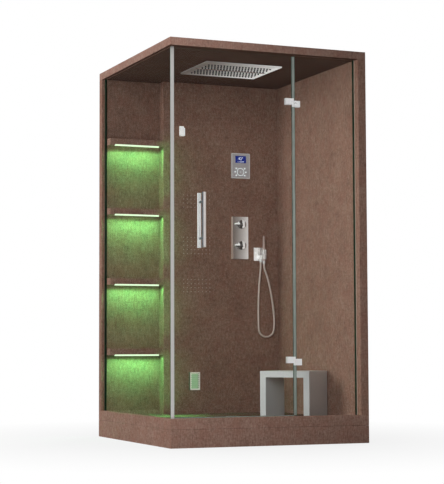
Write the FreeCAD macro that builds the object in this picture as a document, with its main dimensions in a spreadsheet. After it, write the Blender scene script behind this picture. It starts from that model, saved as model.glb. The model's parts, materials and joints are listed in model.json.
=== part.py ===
"""Steam shower cabin, 1200 x 1200 x 2225 mm, a corner cabin with a glass front and left side.

Frame: X to the right, Y to the back, Z up, millimetres.  The origin is on the floor, under the
middle of the square footprint.  The back and right walls are solid, the other two sides are glass.
"""
import FreeCAD, Part
import math
import os
import re
import Sketcher

from FreeCAD import Placement, Rotation, Vector

# Driving dimensions, in millimetres and degrees.
SIZES = {
    # cabin and base
    "cabin_width": 1200,
    "cabin_depth": 1200,
    "cabin_height": 2225,
    "base_height": 156,
    "sill_height": 56,
    "shadow_groove": 1,
    "apron_thickness": 12,
    "tray_drop": 25,
    "tray_skin": 16,
    "rim_left": 44,
    "rim_front": 76,
    "wall_thickness": 48,
    "roof_thickness": 43,
    "well_corner": 18,
    "overrun": 1,
    # base frame and feet
    "frame_tube": 30,
    "cross_tube_offset": 200,
    "foot_inset": 22,
    "foot_radius": 20,
    "foot_pad_height": 12,
    "foot_stem_radius": 6,
    "foot_nut_radius": 9,
    "foot_nut_height": 10,
    # drain
    "drain_forward": 60,
    "drain_bore": 45,
    "drain_wall": 3,
    "drain_bottom": 36,
    "drain_lip_radius": 58,
    "drain_lip_height": 2,
    "drain_nut_height": 8,
    "waste_height": 55,
    "waste_radius": 16,
    "waste_neck_radius": 14.5,
    "waste_bore": 13,
    "waste_reach": 260,
    "waste_spigot": 60,
    "cover_height": 3,
    "cover_stem_depth": 18,
    # service housing and niche
    "housing_width": 776,
    "housing_depth": 72,
    "housing_skin": 12,
    "upright_width": 20,
    "upright_middle": 364,
    # shelves
    "shelf_thickness": 40,
    "first_shelf_top": 532,
    "shelf_pitch": 427,
    "light_width": 9,
    "light_height": 9,
    "light_drop": 5,
    "light_margin": 30,
    # glazing
    "glass": 8,
    "side_glass_inset": 20,
    "front_glass_inset": 45,
    "glass_slack": 0.5,
    "groove_depth": 5,
    "post_size": 15,
    "post_left": 21,
    "post_front": 41,
    "post_wall": 1.6,
    "channel_wall": 1.5,
    "channel_reach": 10,
    # door
    "door_left": 39,
    "hinge_axis": 756,
    "door_edge_gap": 3,
    "fixed_edge_gap": 15,
    "door_rail_gap": 6,
    "latch_seal": 2,
    "drip_seal": 4,
    "seal_thickness": 7,
    # hinges
    "lower_hinge": 462,
    "upper_hinge": 1913,
    "leaf_height": 36,
    "leaf_step": 12,
    "leaf_length": 38,
    "leaf_plate": 7,
    "barrel_radius": 6.5,
    "barrel_gap": 0.3,
    "leaf_clear": 0.5,
    "pin_radius": 3,
    "running_gap": 0.05,
    "clamp_bolt_radius": 4,
    "glass_hole_gap": 1,
    # handle
    "handle_across": 202,
    "handle_bottom": 1083,
    "handle_length": 302,
    "handle_radius": 11,
    "handle_spread": 34,
    "handle_post_radius": 7,
    "handle_post_inset": 51,
    "handle_socket": 4,
    # robe hook
    "hook_across": 120,
    "hook_width": 30,
    "hook_bottom": 1847,
    "hook_height": 62,
    "hook_tongue": 49,
    "hook_depth": 24,
    "hook_plate": 5,
    # control panel
    "fittings_offset": 320,
    "panel_bottom": 1598,
    "panel_width": 127,
    "panel_height": 160,
    "panel_thickness": 8,
    "panel_corner": 5,
    "display_width": 74,
    "display_height": 45,
    "display_bottom": 1696,
    "display_thickness": 2,
    "keypad_height": 1639.5,
    "keypad_right": 61.5,
    "power_key_radius": 17,
    "small_key_radius": 4.5,
    "small_key_circle": 36.5,
    "small_key_angle": 37,
    "key_gap": 0.3,
    "key_proud": 1.5,
    "key_length": 6,
    # mixer
    "mixer_bottom": 1090,
    "mixer_width": 104,
    "mixer_height": 264,
    "mixer_depth": 28,
    "flow_knob_height": 83,
    "temperature_knob_height": 215,
    "knob_skirt_radius": 19,
    "knob_disc_radius": 27,
    "knob_skirt_length": 14,
    "knob_disc_length": 12,
    "knob_fin_width": 7,
    "knob_fin_proud": 7,
    "knob_fin_inset": 3,
    "knob_lever_root": 14,
    "knob_lever_tip": 7,
    "knob_lever_length": 50,
    "knob_chamfer": 2,
    "knob_gap": 0.3,
    "spindle_radius": 5,
    "spindle_depth": 26,
    "spindle_clear": 2,
    "valve_width": 70,
    "valve_height": 256,
    "valve_depth": 40,
    # pipes
    "pipe_radius": 8,
    "pipe_bend": 20,
    "inlet_height": 860,
    "inlet_spacing": 60,
    "inlet_radius": 16,
    "inlet_bore": 9.5,
    "inlet_bore_depth": 30,
    "pipe_back": 20,
    # shower outlet, handset and hose ends
    "outlet_offset": 166,
    "outlet_foot": 8,
    "outlet_width": 62,
    "outlet_height": 82,
    "outlet_plate": 6,
    "outlet_drop_across": 32,
    "outlet_drop_depth": 35,
    "elbow_size": 24,
    "elbow_height": 1090,
    "holder_across": 48,
    "holder_depth": 50,
    "holder_radius": 14,
    "holder_height": 60,
    "handset_radius": 9.5,
    "handset_hang": 10,
    "handset_length": 155,
    "handset_tip_radius": 8,
    "handset_gap": 0.3,
    "handset_collar_radius": 11.5,
    "handset_collar": 6,
    "handset_tip_round": 3,
    "nut_radius": 9,
    "nut_length": 20,
    "nut_chamfer": 1,
    "hose_radius": 6.5,
    # steam
    "steam_left": 166,
    "steam_bottom": 276,
    "steam_width": 65,
    "steam_height": 109,
    "steam_depth": 25,
    "steam_rim": 6,
    "steam_pipe_gap": 1,
    "louvre_pitch": 12,
    "louvre_thickness": 3,
    "louvre_tilt": 35,
    "louvre_reach": 10,
    "louvre_inset": 1,
    "steam_box_margin": 8,
    "steam_box_depth": 34,
    "generator_left": 64,
    "generator_bottom": 440,
    "generator_width": 270,
    "generator_height": 330,
    "generator_depth": 50,
    "generator_corner": 8,
    # rain head
    "rain_off_centre": 5,
    "rain_forward": 37,
    "rain_width": 480,
    "rain_length": 400,
    "rain_plate": 8,
    "rain_rim": 18,
    "rain_recess": 2,
    "rain_box_margin": 22,
    "rain_box_height": 30,
    "rain_box_gap": 4,
    "rain_tip_radius": 4,
    "rain_tip_proud": 2,
    "rain_pitch": 34,
    # body jets
    "jet_left": 134,
    "jet_field_width": 175,
    "lower_jets": 882,
    "lower_jets_height": 75,
    "middle_jets": 1118,
    "middle_jets_height": 100,
    "upper_jets": 1406,
    "upper_jets_height": 75,
    "jet_pitch": 25,
    "jet_radius": 3,
    "jet_proud": 1.5,
    # stool
    "stool_offset": 196,
    "stool_back": 462,
    "stool_turn": -53,
    "stool_width": 320,
    "stool_depth": 236,
    "stool_top": 400,
    "stool_board": 37,
    "stool_edge": 2,
}

# Places that follow from the driving dimensions.  Each one is an expression of their names.
PLACES = {
    "left": "(-cabin_width / 2)",
    "right": "(cabin_width / 2)",
    "front": "(-cabin_depth / 2)",
    "back": "(cabin_depth / 2)",
    "sill_bottom": "(base_height - sill_height)",
    "tray_floor": "(base_height - tray_drop)",
    "tray_under": "(base_height - tray_drop - tray_skin)",
    "frame_under": "(tray_under - frame_tube)",
    "ceiling": "(cabin_height - roof_thickness)",
    "wall_right": "(right - wall_thickness)",
    "wall_back": "(back - wall_thickness)",
    "frame_left": "(left + apron_thickness)",
    "frame_right": "(right - apron_thickness)",
    "frame_front": "(front + apron_thickness)",
    "frame_back": "(back - apron_thickness)",
    "housing_left": "(wall_right - housing_width)",
    "housing_front_y": "(wall_back - housing_depth)",
    "housing_inner": "(housing_front_y + housing_skin)",
    "side_glass_left": "(left + side_glass_inset)",
    "side_glass_right": "(side_glass_left + glass)",
    "glass_front": "(front + front_glass_inset)",
    "glass_back": "(glass_front + glass)",
    "post_x": "(left + post_left)",
    "post_y": "(front + post_front)",
    "pivot_x": "(left + hinge_axis)",
    "pivot_y": "(glass_front - leaf_plate)",
    "door_edge": "(pivot_x - door_edge_gap)",
    "fixed_edge": "(pivot_x + fixed_edge_gap)",
    "door_low": "(base_height + door_rail_gap)",
    "door_high": "(ceiling - door_rail_gap)",
    "handle_x": "(left + handle_across)",
    "handle_out_y": "(glass_front + glass / 2 - handle_spread)",
    "handle_in_y": "(glass_front + glass / 2 + handle_spread)",
    "fittings_left": "(wall_right - fittings_offset)",
    "mixer_x": "(fittings_left + mixer_width / 2)",
    "mixer_front_y": "(housing_front_y - mixer_depth)",
    "panel_x": "(fittings_left + panel_width / 2)",
    "panel_front_y": "(housing_front_y - panel_thickness)",
    "keypad_x": "(fittings_left + keypad_right)",
    "outlet_edge": "(wall_right - outlet_offset)",
    "holder_x": "(outlet_edge + holder_across)",
    "holder_y": "(housing_front_y - holder_depth)",
    "drop_x": "(outlet_edge + outlet_drop_across)",
    "drop_y": "(housing_front_y - outlet_drop_depth)",
    "handset_bottom": "(elbow_height - handset_hang)",
    "hose_start_z": "(elbow_height - nut_length)",
    "steam_edge": "(housing_left + steam_left)",
    "steam_x": "(steam_edge + steam_width / 2)",
    "steam_z": "(steam_bottom + steam_height / 2)",
    "steam_front_y": "(housing_front_y - steam_depth)",
    "rain_x": "rain_off_centre",
    "rain_y": "(-rain_forward)",
    "riser_y": "(housing_inner + pipe_back + pipe_radius)",
    "riser_top": "(ceiling + rain_box_height / 2)",
    "spindle_end": "(housing_inner + spindle_depth)",
    "stool_x": "(wall_right - stool_offset)",
    "drain_x": "0",
    "drain_y": "(-drain_forward)",
    "cup_radius": "(drain_bore - glass_slack)",
}

# The hose hangs free from the outlet nut, round a low loop and up to the handset nut: the points
# of its route, from the outlet plate's left edge, the housing's front face and the outlet nut's
# lower end.
HOSE_POINTS = [
    (32, -35, -36),
    (27, -31, -94),
    (23, -27, -155),
    (21, -25, -212),
    (20, -23, -269),
    (20, -22, -326),
    (21, -21, -380),
    (23, -20, -429),
    (37, -20, -453),
    (61, -20, -467),
    (89, -21, -467),
    (113, -22, -453),
    (126, -23, -428),
    (128, -25, -380),
    (125, -27, -327),
    (118, -29, -273),
    (108, -32, -219),
    (96, -35, -165),
    (82, -39, -112),
    (64, -44, -66),
    (48, -50, -36),
]

DOC = FreeCAD.newDocument("steam_shower_cabin")
SHEET = DOC.addObject("Spreadsheet::Sheet", "sizes")
PIECES = []


def fill_sheet():
    """Write every driving dimension to the sheet under its own alias."""
    for row, (name, value) in enumerate(SIZES.items(), start=1):
        SHEET.set("A%d" % row, name)
        SHEET.set("B%d" % row, str(value))
        SHEET.setAlias("B%d" % row, name)
    DOC.recompute()


def bound(text):
    """The expression with places spelled out and each size pointing at its cell."""
    def swap(match):
        word = match.group(0)
        if word in PLACES:
            return bound(PLACES[word])
        return "sizes." + word if word in SIZES else word
    return re.sub(r"[a-z_]+", swap, str(text))


def size(name):
    """The number that a driving dimension has now."""
    return float(SHEET.get(name))


def bind(thing, path, text):
    """Tie one property of an object to an expression of the sizes."""
    thing.setExpression(path, bound(text))


def move(thing, across, along, height):
    """Tie the base point of an object's placement to three expressions."""
    bind(thing, "Placement.Base.x", across)
    bind(thing, "Placement.Base.y", along)
    bind(thing, "Placement.Base.z", height)


def piece(thing, label):
    """Name an object as one of the cabin's pieces."""
    thing.Label = label
    PIECES.append(thing)
    return thing


# ---- primitives and booleans ----

def block(name, across, along, height):
    """A box from its low and high place along X, Y and Z."""
    box = DOC.addObject("Part::Box", name)
    for prop, (low, high) in (("Length", across), ("Width", along), ("Height", height)):
        bind(box, prop, "(%s) - (%s)" % (high, low))
    move(box, across[0], along[0], height[0])
    return box


AIMS = {
    "x": Rotation(Vector(0, 1, 0), 90),
    "y": Rotation(Vector(1, 0, 0), -90),
    "z": Rotation(),
}


def rod(name, aim, radius, at, span):
    """A cylinder along an axis.  at holds the other two places, span the low and high one."""
    cylinder = DOC.addObject("Part::Cylinder", name)
    cylinder.Placement = Placement(Vector(), AIMS[aim])
    bind(cylinder, "Radius", radius)
    bind(cylinder, "Height", "(%s) - (%s)" % (span[1], span[0]))
    places = list(at)
    places.insert("xyz".index(aim), span[0])
    move(cylinder, *places)
    return cylinder


def fuse(name, shapes):
    """One solid from several that touch."""
    union = DOC.addObject("Part::MultiFuse", name)
    union.Shapes = shapes
    union.Refine = True
    return union


def cut(name, base, tools):
    """The base with the tools taken away."""
    result = DOC.addObject("Part::Cut", name)
    result.Base = base
    result.Tool = tools[0] if len(tools) == 1 else fuse(name + "_tools", tools)
    return result


def group(name, shapes):
    """Separate solids that share one node."""
    compound = DOC.addObject("Part::Compound", name)
    compound.Links = shapes
    return compound


def rounded(name, base, radius, chosen):
    """The base with a fillet on the edges that the test chooses."""
    DOC.recompute()
    edges = [index for index, edge in enumerate(base.Shape.Edges, start=1) if chosen(edge)]
    result = DOC.addObject("Part::Fillet", name)
    result.Base = base
    result.Edges = [(index, size(radius), size(radius)) for index in edges]
    return result


def runs_along(axis):
    """A test for straight edges along X, Y or Z."""
    def test(edge):
        if not isinstance(edge.Curve, Part.Line):
            return False
        return abs(abs(getattr(edge.Curve.Direction, axis)) - 1) < 1e-6
    return test


# ---- bodies made from sketches ----

def new_body(name):
    """An empty body."""
    return DOC.addObject("PartDesign::Body", name)


def plane(body, role):
    """One of a body's own origin planes or axes."""
    return next(item for item in body.Origin.OriginFeatures if item.Role == role)


def sketch_on(body, name, role, offset="0"):
    """A sketch on one of the body's planes, moved off it by an expression."""
    sketch = body.newObject("Sketcher::SketchObject", name)
    sketch.AttachmentSupport = [(plane(body, role), "")]
    sketch.MapMode = "FlatFace"
    bind(sketch, "AttachmentOffset.Base.z", offset)
    return sketch


def outline(sketch, points):
    """A closed outline whose corners sit at expressions of the sizes."""
    first = sketch.GeometryCount
    count = len(points)
    ring = [Vector(50 * math.cos(2 * math.pi * k / count), 50 * math.sin(2 * math.pi * k / count), 0)
            for k in range(count)]
    for k in range(count):
        sketch.addGeometry(Part.LineSegment(ring[k], ring[(k + 1) % count]), False)
    for k in range(count):
        sketch.addConstraint(Sketcher.Constraint("Coincident", first + k, 2, first + (k + 1) % count, 1))
    for k, corner in enumerate(points):
        for kind, text in zip(("DistanceX", "DistanceY"), corner):
            index = sketch.addConstraint(Sketcher.Constraint(kind, -1, 1, first + k, 1, 1.0 + k))
            bind(sketch, "Constraints[%d]" % index, text)


def rectangle(sketch, low_x, high_x, low_y, high_y):
    """A closed rectangle between four expressions."""
    outline(sketch, [(low_x, low_y), (high_x, low_y), (high_x, high_y), (low_x, high_y)])


def circle(sketch, radius, across="0", up="0"):
    """A circle at an expression of the sizes."""
    index = sketch.addGeometry(Part.Circle(Vector(1, 1, 0), Vector(0, 0, 1), 10), False)
    at_x = sketch.addConstraint(Sketcher.Constraint("DistanceX", -1, 1, index, 3, 1.0))
    bind(sketch, "Constraints[%d]" % at_x, across)
    at_y = sketch.addConstraint(Sketcher.Constraint("DistanceY", -1, 1, index, 3, 1.0))
    bind(sketch, "Constraints[%d]" % at_y, up)
    across_it = sketch.addConstraint(Sketcher.Constraint("Radius", index, 10.0))
    bind(sketch, "Constraints[%d]" % across_it, radius)


def pad(body, sketch, length, reverse=False):
    """Material on a sketch."""
    feature = body.newObject("PartDesign::Pad", sketch.Name + "_pad")
    feature.Profile = sketch
    feature.Reversed = reverse
    bind(feature, "Length", length)
    DOC.recompute()
    return feature


def pocket(body, sketch, depth, reverse=False):
    """Material taken away under a sketch, which has to leave less of it."""
    before = body.Shape.Volume
    feature = body.newObject("PartDesign::Pocket", sketch.Name + "_pocket")
    feature.Profile = sketch
    feature.Reversed = reverse
    bind(feature, "Length", depth)
    DOC.recompute()
    if not body.Shape.Volume < before - 1e-3:
        raise RuntimeError("%s cuts nothing" % feature.Name)
    return feature


def turned(name, corners):
    """A body turned about Z from the corners (radius, height) of half its section."""
    body = new_body(name)
    sketch = sketch_on(body, name + "_section", "XZ_Plane")
    outline(sketch, corners)
    feature = body.newObject("PartDesign::Revolution", name + "_turn")
    feature.Profile = sketch
    feature.ReferenceAxis = (sketch, ["V_Axis"])
    feature.Angle = 360
    DOC.recompute()
    return body


def soften(body, radius, chosen):
    """A fillet on the edges of the body's last feature that the test chooses."""
    DOC.recompute()
    base = body.Tip
    names = ["Edge%d" % index for index, edge in enumerate(base.Shape.Edges, start=1) if chosen(edge)]
    feature = body.newObject("PartDesign::Fillet", base.Name + "_round")
    feature.Base = (base, names)
    bind(feature, "Radius", radius)
    DOC.recompute()
    return feature


def repeat(body, feature, role, pitch, count):
    """Equal copies of a feature along one of the body's axes."""
    row = body.newObject("PartDesign::LinearPattern", feature.Name + "_row")
    row.Originals = [feature]
    row.Direction = (plane(body, role), [""])
    row.Mode = "Spacing"
    row.Occurrences = count
    bind(row, "Offset", pitch)
    body.Tip = row
    DOC.recompute()
    return row


# ---- tubes along routes ----

def rounded_route(points, radius_at):
    """A wire of straight runs joined by tangent arcs."""
    edges = []
    start = points[0]
    for before, corner, after in zip(points, points[1:], points[2:]):
        to_corner = (corner - before).normalize()
        from_corner = (after - corner).normalize()
        turn = to_corner.getAngle(from_corner)
        radius = radius_at(before, corner, after, turn)
        setback = radius * math.tan(turn / 2)
        enter = corner - to_corner * setback
        leave = corner + from_corner * setback
        inward = (from_corner - to_corner).normalize()
        middle = corner + inward * (radius / math.cos(turn / 2) - radius)
        edges.append(Part.LineSegment(start, enter).toShape())
        edges.append(Part.Arc(enter, middle, leave).toShape())
        start = leave
    edges.append(Part.LineSegment(start, points[-1]).toShape())
    return Part.Wire(edges)


def tube(route, radius):
    """A round tube along a wire, checked against its section times its length."""
    start = route.Edges[0].valueAt(route.Edges[0].FirstParameter)
    along = route.Edges[0].tangentAt(route.Edges[0].FirstParameter)
    section = Part.Wire(Part.Circle(start, along, radius).toShape())
    solid = route.makePipeShell([section], True, False)
    expected = math.pi * radius * radius * route.Length
    if abs(solid.Volume - expected) > 0.02 * expected:
        raise RuntimeError("a tube has %.0f mm3 instead of %.0f" % (solid.Volume, expected))
    return solid


def feature(name, shape):
    """An object of the document that holds a finished shape."""
    thing = DOC.addObject("Part::Feature", name)
    thing.Shape = shape
    thing.Placement = Placement()
    return thing


# ---- base ----

def shower_tray():
    body = new_body("shower_tray")
    rim = sketch_on(body, "tray_rim", "XY_Plane", "sill_bottom")
    rectangle(rim, "left", "right", "front", "back")
    pad(body, rim, "sill_height")
    well = sketch_on(body, "tray_well", "XY_Plane", "base_height")
    rectangle(well, "left + rim_left", "wall_right", "front + rim_front", "wall_back")
    pocket(body, well, "tray_drop")
    floor = size("base_height") - size("tray_drop")

    def at_well_front(edge):
        box = edge.BoundBox
        return runs_along("z")(edge) and box.ZMin > floor - 0.1 and box.YMax < 0
    soften(body, "well_corner", at_well_front)
    hollow = sketch_on(body, "tray_hollow", "XY_Plane", "sill_bottom")
    rectangle(hollow, "frame_left", "frame_right", "frame_front", "frame_back")
    pocket(body, hollow, "tray_under - sill_bottom", reverse=True)
    drain = sketch_on(body, "tray_drain", "XY_Plane", "tray_floor")
    circle(drain, "drain_bore", "drain_x", "drain_y")
    pocket(body, drain, "tray_skin")
    grooves = sketch_on(body, "tray_glass_grooves", "XY_Plane", "base_height")
    side_glass_groove(grooves)
    fixed_glass_groove(grooves)
    pocket(body, grooves, "groove_depth")
    return piece(body, "shower_tray")


def side_glass_groove(sketch):
    rectangle(sketch, "side_glass_left - glass_slack", "side_glass_right + glass_slack",
              "post_y + post_size", "wall_back")


def fixed_glass_groove(sketch):
    rectangle(sketch, "fixed_edge - glass_slack", "wall_right",
              "glass_front - glass_slack", "glass_back + glass_slack")


def aprons():
    top = "sill_bottom - shadow_groove"
    piece(block("front_apron", ("left", "right"), ("front", "frame_front"), ("0", top)), "front_apron")
    piece(block("side_apron", ("left", "frame_left"), ("frame_front", "back"), ("0", top)), "side_apron")


def base_frame():
    """Square tubes welded face to face: two along X, four along Y."""
    height = ("frame_under", "tray_under")
    bars = [
        block("frame_front_bar", ("frame_left", "frame_right"),
              ("frame_front", "frame_front + frame_tube"), height),
        block("frame_back_bar", ("frame_left", "frame_right"),
              ("frame_back - frame_tube", "frame_back"), height),
    ]
    along = ("frame_front + frame_tube", "frame_back - frame_tube")
    starts = ["frame_left", "frame_right - frame_tube",
              "-cross_tube_offset - frame_tube / 2", "cross_tube_offset - frame_tube / 2"]
    for number, start in enumerate(starts, start=1):
        across = (start, "%s + frame_tube" % start)
        bars.append(block("frame_bar_%d" % number, across, along, height))
    return piece(group("base_frame", bars), "base_frame")


def levelling_feet():
    """Six screw feet: a pad, a stem into the frame tube above and a lock nut under it."""
    corner_x = ("frame_left + foot_inset", "frame_right - foot_inset")
    corner_y = ("frame_front + foot_inset", "frame_back - foot_inset")
    spots = [(across, along) for across in corner_x for along in corner_y]
    spots += [("-cross_tube_offset", "0"), ("cross_tube_offset", "0")]
    feet = []
    for number, (across, along) in enumerate(spots, start=1):
        foot = turned("foot_%d" % number, [
            ("0", "0"),
            ("foot_radius", "0"),
            ("foot_radius", "foot_pad_height * 0.5"),
            ("foot_stem_radius * 1.5", "foot_pad_height"),
            ("foot_stem_radius", "foot_pad_height"),
            ("foot_stem_radius", "frame_under - foot_nut_height"),
            ("foot_nut_radius", "frame_under - foot_nut_height"),
            ("foot_nut_radius", "frame_under"),
            ("0", "frame_under"),
        ])
        move(foot, across, along, "0")
        feet.append(foot)
    return piece(group("levelling_feet", feet), "levelling_feet")


def drain():
    """The trap under the tray: a cup with a lip on the floor, a nut under it and a waste pipe."""
    cup = turned("drain_cup", [
        ("0", "drain_bottom"),
        ("cup_radius", "drain_bottom"),
        ("cup_radius", "tray_under - drain_nut_height"),
        ("drain_lip_radius", "tray_under - drain_nut_height"),
        ("drain_lip_radius", "tray_under"),
        ("cup_radius", "tray_under"),
        ("cup_radius", "tray_floor"),
        ("drain_lip_radius", "tray_floor"),
        ("drain_lip_radius - drain_wall", "tray_floor + drain_lip_height"),
        ("cup_radius - drain_wall", "tray_floor + drain_lip_height"),
        ("cup_radius - drain_wall", "drain_bottom + drain_wall"),
        ("0", "drain_bottom + drain_wall"),
    ])
    move(cup, "drain_x", "drain_y", "0")
    end = "drain_y + waste_reach"
    pipe = rod("waste_pipe", "y", "waste_neck_radius", ("drain_x", "waste_height"),
               ("drain_y + cup_radius - drain_wall / 2", end))
    spigot = rod("waste_spigot_pipe", "y", "waste_radius", ("drain_x", "waste_height"),
                 ("%s - waste_spigot" % end, end))
    bore = rod("waste_pipe_bore", "y", "waste_bore", ("drain_x", "waste_height"), ("drain_y", end))
    piece(cut("drain_trap", fuse("drain_cup_and_pipe", [cup, pipe, spigot]), [bore]), "drain_trap")
    seat = "tray_floor + drain_lip_height"
    cover = turned("drain_cover", [
        ("0", "%s - cover_stem_depth" % seat),
        ("drain_bore * 0.55", "%s - cover_stem_depth" % seat),
        ("drain_bore * 0.55", seat),
        ("drain_lip_radius - drain_wall", seat),
        ("drain_lip_radius - drain_wall * 2", "%s + cover_height" % seat),
        ("0", "%s + cover_height" % seat),
    ])
    move(cover, "drain_x", "drain_y", "0")
    piece(cover, "drain_cover")


# ---- walls, roof and housing ----

def walls():
    panel = block("back_wall_panel", ("left", "right"), ("wall_back", "back"), ("base_height", "ceiling"))
    holes = [rod("inlet_hole_%s" % name, "y", "inlet_radius", (across, "inlet_height"),
                 ("wall_back - overrun", "back + overrun"))
             for name, across in INLETS.items()]
    piece(cut("back_wall", panel, holes), "back_wall")
    piece(block("right_wall", ("wall_right", "right"), ("front", "wall_back"), ("base_height", "ceiling")),
          "right_wall")


def roof():
    """The roof slab, with a pocket for the rain head's box and a bore for its pipe."""
    body = new_body("roof_block")
    slab = sketch_on(body, "roof_slab", "XY_Plane", "ceiling")
    rectangle(slab, "left", "right", "front", "back")
    pad(body, slab, "roof_thickness")
    well = sketch_on(body, "roof_rain_pocket", "XY_Plane", "ceiling")
    gap = "rain_width / 2 - rain_box_margin + rain_box_gap"
    depth = "rain_length / 2 - rain_box_margin + rain_box_gap"
    rectangle(well, "rain_x - (%s)" % gap, "rain_x + (%s)" % gap,
              "rain_y - (%s)" % depth, "rain_y + (%s)" % depth)
    pocket(body, well, "rain_box_height + rain_box_gap", reverse=True)
    grooves = sketch_on(body, "roof_glass_grooves", "XY_Plane", "ceiling")
    side_glass_groove(grooves)
    fixed_glass_groove(grooves)
    pocket(body, grooves, "groove_depth", reverse=True)
    room = "(pipe_radius + rain_box_gap)"
    beside = ("riser_y - %s" % room, "riser_y + %s" % room)
    height = ("riser_top - %s" % room, "riser_top + %s" % room)
    way = [
        block("roof_pipe_tunnel", ("rain_x - %s" % room, "rain_x + %s" % room),
              ("rain_y", beside[1]), height),
        block("roof_pipe_crossing", ("rain_x", "mixer_x + %s" % room), beside, height),
        block("roof_pipe_drop", ("mixer_x - %s" % room, "mixer_x + %s" % room), beside,
              ("ceiling - overrun", "riser_top")),
    ]
    return piece(cut("roof_with_pipe_way", body, way), "roof_panel")


INLETS = {
    "cold": "mixer_x - inlet_spacing / 2",
    "hot": "mixer_x + inlet_spacing / 2",
}


def housing():
    """The service housing: a front panel with its openings, a side panel and three uprights."""
    height = ("tray_floor", "ceiling")
    panel = block("housing_front_panel", ("housing_left", "wall_right"),
                  ("housing_front_y", "housing_inner"), height)
    through = ("housing_front_y - overrun", "housing_inner + overrun")
    margin = "(steam_box_margin - glass_slack)"
    holes = [
        block("steam_window", ("steam_edge + %s" % margin, "steam_edge + steam_width - %s" % margin),
              through, ("steam_bottom + %s" % margin, "steam_bottom + steam_height - %s" % margin)),
        rod("outlet_hole", "y", "pipe_radius + glass_slack",
            ("drop_x", "elbow_height + elbow_size / 2"), through),
    ]
    for name, up in KNOB_HEIGHTS.items():
        holes.append(rod("housing_%s_hole" % name, "y", "knob_skirt_radius", ("mixer_x", up), through))
    piece(cut("housing_front", panel, holes), "housing_front")
    piece(block("housing_side", ("housing_left", "housing_left + housing_skin"),
                ("housing_inner", "wall_back"), height), "housing_side")
    uprights = []
    for name, start in (("left", "housing_left + housing_skin"),
                        ("middle", "housing_left + upright_middle"),
                        ("right", "wall_right - upright_width")):
        uprights.append(block("upright_%s" % name, (start, "%s + upright_width" % start),
                              ("housing_inner", "wall_back"), height))
    piece(group("housing_uprights", uprights), "housing_uprights")


KNOB_HEIGHTS = {
    "flow": "(mixer_bottom + flow_knob_height)",
    "temperature": "(mixer_bottom + temperature_knob_height)",
}


# ---- niche ----

def shelves():
    """Four shelves from the left glass to the housing, each rebated for its light strip."""
    lights = []
    across = ("side_glass_right + channel_wall + glass_slack * 2", "housing_left")
    for number in range(1, 5):
        top = "(first_shelf_top + shelf_pitch * %d)" % (number - 1)
        under = "(%s - shelf_thickness)" % top
        board = block("shelf_board_%d" % number, across, ("housing_front_y", "wall_back"), (under, top))
        span = ("%s + light_margin" % across[0], "%s - light_margin" % across[1])
        strip = ("%s - light_drop" % under, "%s - light_drop + light_height" % under)
        rebate = block("shelf_rebate_%d" % number, span,
                       ("housing_front_y - overrun", "housing_front_y + light_width"), strip)
        piece(cut("shelf_%d" % number, board, [rebate]), "shelf_%d" % number)
        lights.append(block("shelf_light_%d" % number, span,
                            ("housing_front_y", "housing_front_y + light_width"), strip))
    return piece(group("shelf_lights", lights), "shelf_lights")


# ---- glazing ----

def corner_post():
    """A square tube post."""
    body = new_body("corner_post")
    section = sketch_on(body, "post_section", "XY_Plane", "base_height")
    rectangle(section, "post_x", "post_x + post_size", "post_y", "post_y + post_size")
    rectangle(section, "post_x + post_wall", "post_x + post_size - post_wall",
              "post_y + post_wall", "post_y + post_size - post_wall")
    pad(body, section, "ceiling - base_height")
    return piece(body, "corner_post")


def fixed_glazing():
    seated = ("base_height - groove_depth", "ceiling + groove_depth")
    piece(block("side_glass", ("side_glass_left", "side_glass_right"),
                ("post_y + post_size", "wall_back - channel_wall"), seated), "side_glass")
    pane = block("fixed_glass_pane", ("fixed_edge", "wall_right - channel_wall"),
                 ("glass_front", "glass_back"), seated)
    holes = [rod("fixed_glass_hole_%d" % number, "y", "clamp_bolt_radius + glass_hole_gap",
                 (FIXED_BOLT_X, "%s - leaf_step / 2" % up),
                 ("glass_front - overrun", "glass_back + overrun"))
             for number, up in enumerate(HINGE_HEIGHTS, start=1)]
    piece(cut("fixed_glass", pane, holes), "fixed_glass")


HINGE_HEIGHTS = ("lower_hinge", "upper_hinge")
DOOR_BOLT_X = "(pivot_x - door_edge_gap - leaf_length / 2)"
FIXED_BOLT_X = "(fixed_edge + leaf_length * 0.4)"


def wall_channels():
    """Two U sections that hold the panes' back edges, one on each solid wall."""
    slack = "channel_wall + glass_slack"
    height = ("base_height", "ceiling")
    right_outer = block("right_channel_outer", ("wall_right - channel_reach", "wall_right"),
                        ("glass_front - (%s)" % slack, "glass_back + %s" % slack), height)
    right_inner = block("right_channel_inner",
                        ("wall_right - channel_reach - overrun", "wall_right - channel_wall"),
                        ("glass_front - glass_slack", "glass_back + glass_slack"),
                        ("base_height - overrun", "ceiling + overrun"))
    back_outer = block("back_channel_outer",
                       ("side_glass_left - (%s)" % slack, "side_glass_right + %s" % slack),
                       ("wall_back - channel_reach", "wall_back"), height)
    back_inner = block("back_channel_inner",
                       ("side_glass_left - glass_slack", "side_glass_right + glass_slack"),
                       ("wall_back - channel_reach - overrun", "wall_back - channel_wall"),
                       ("base_height - overrun", "ceiling + overrun"))
    channels = [cut("right_channel", right_outer, [right_inner]),
                cut("back_channel", back_outer, [back_inner])]
    return piece(group("wall_channels", channels), "wall_channels")


# ---- door ----

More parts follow.
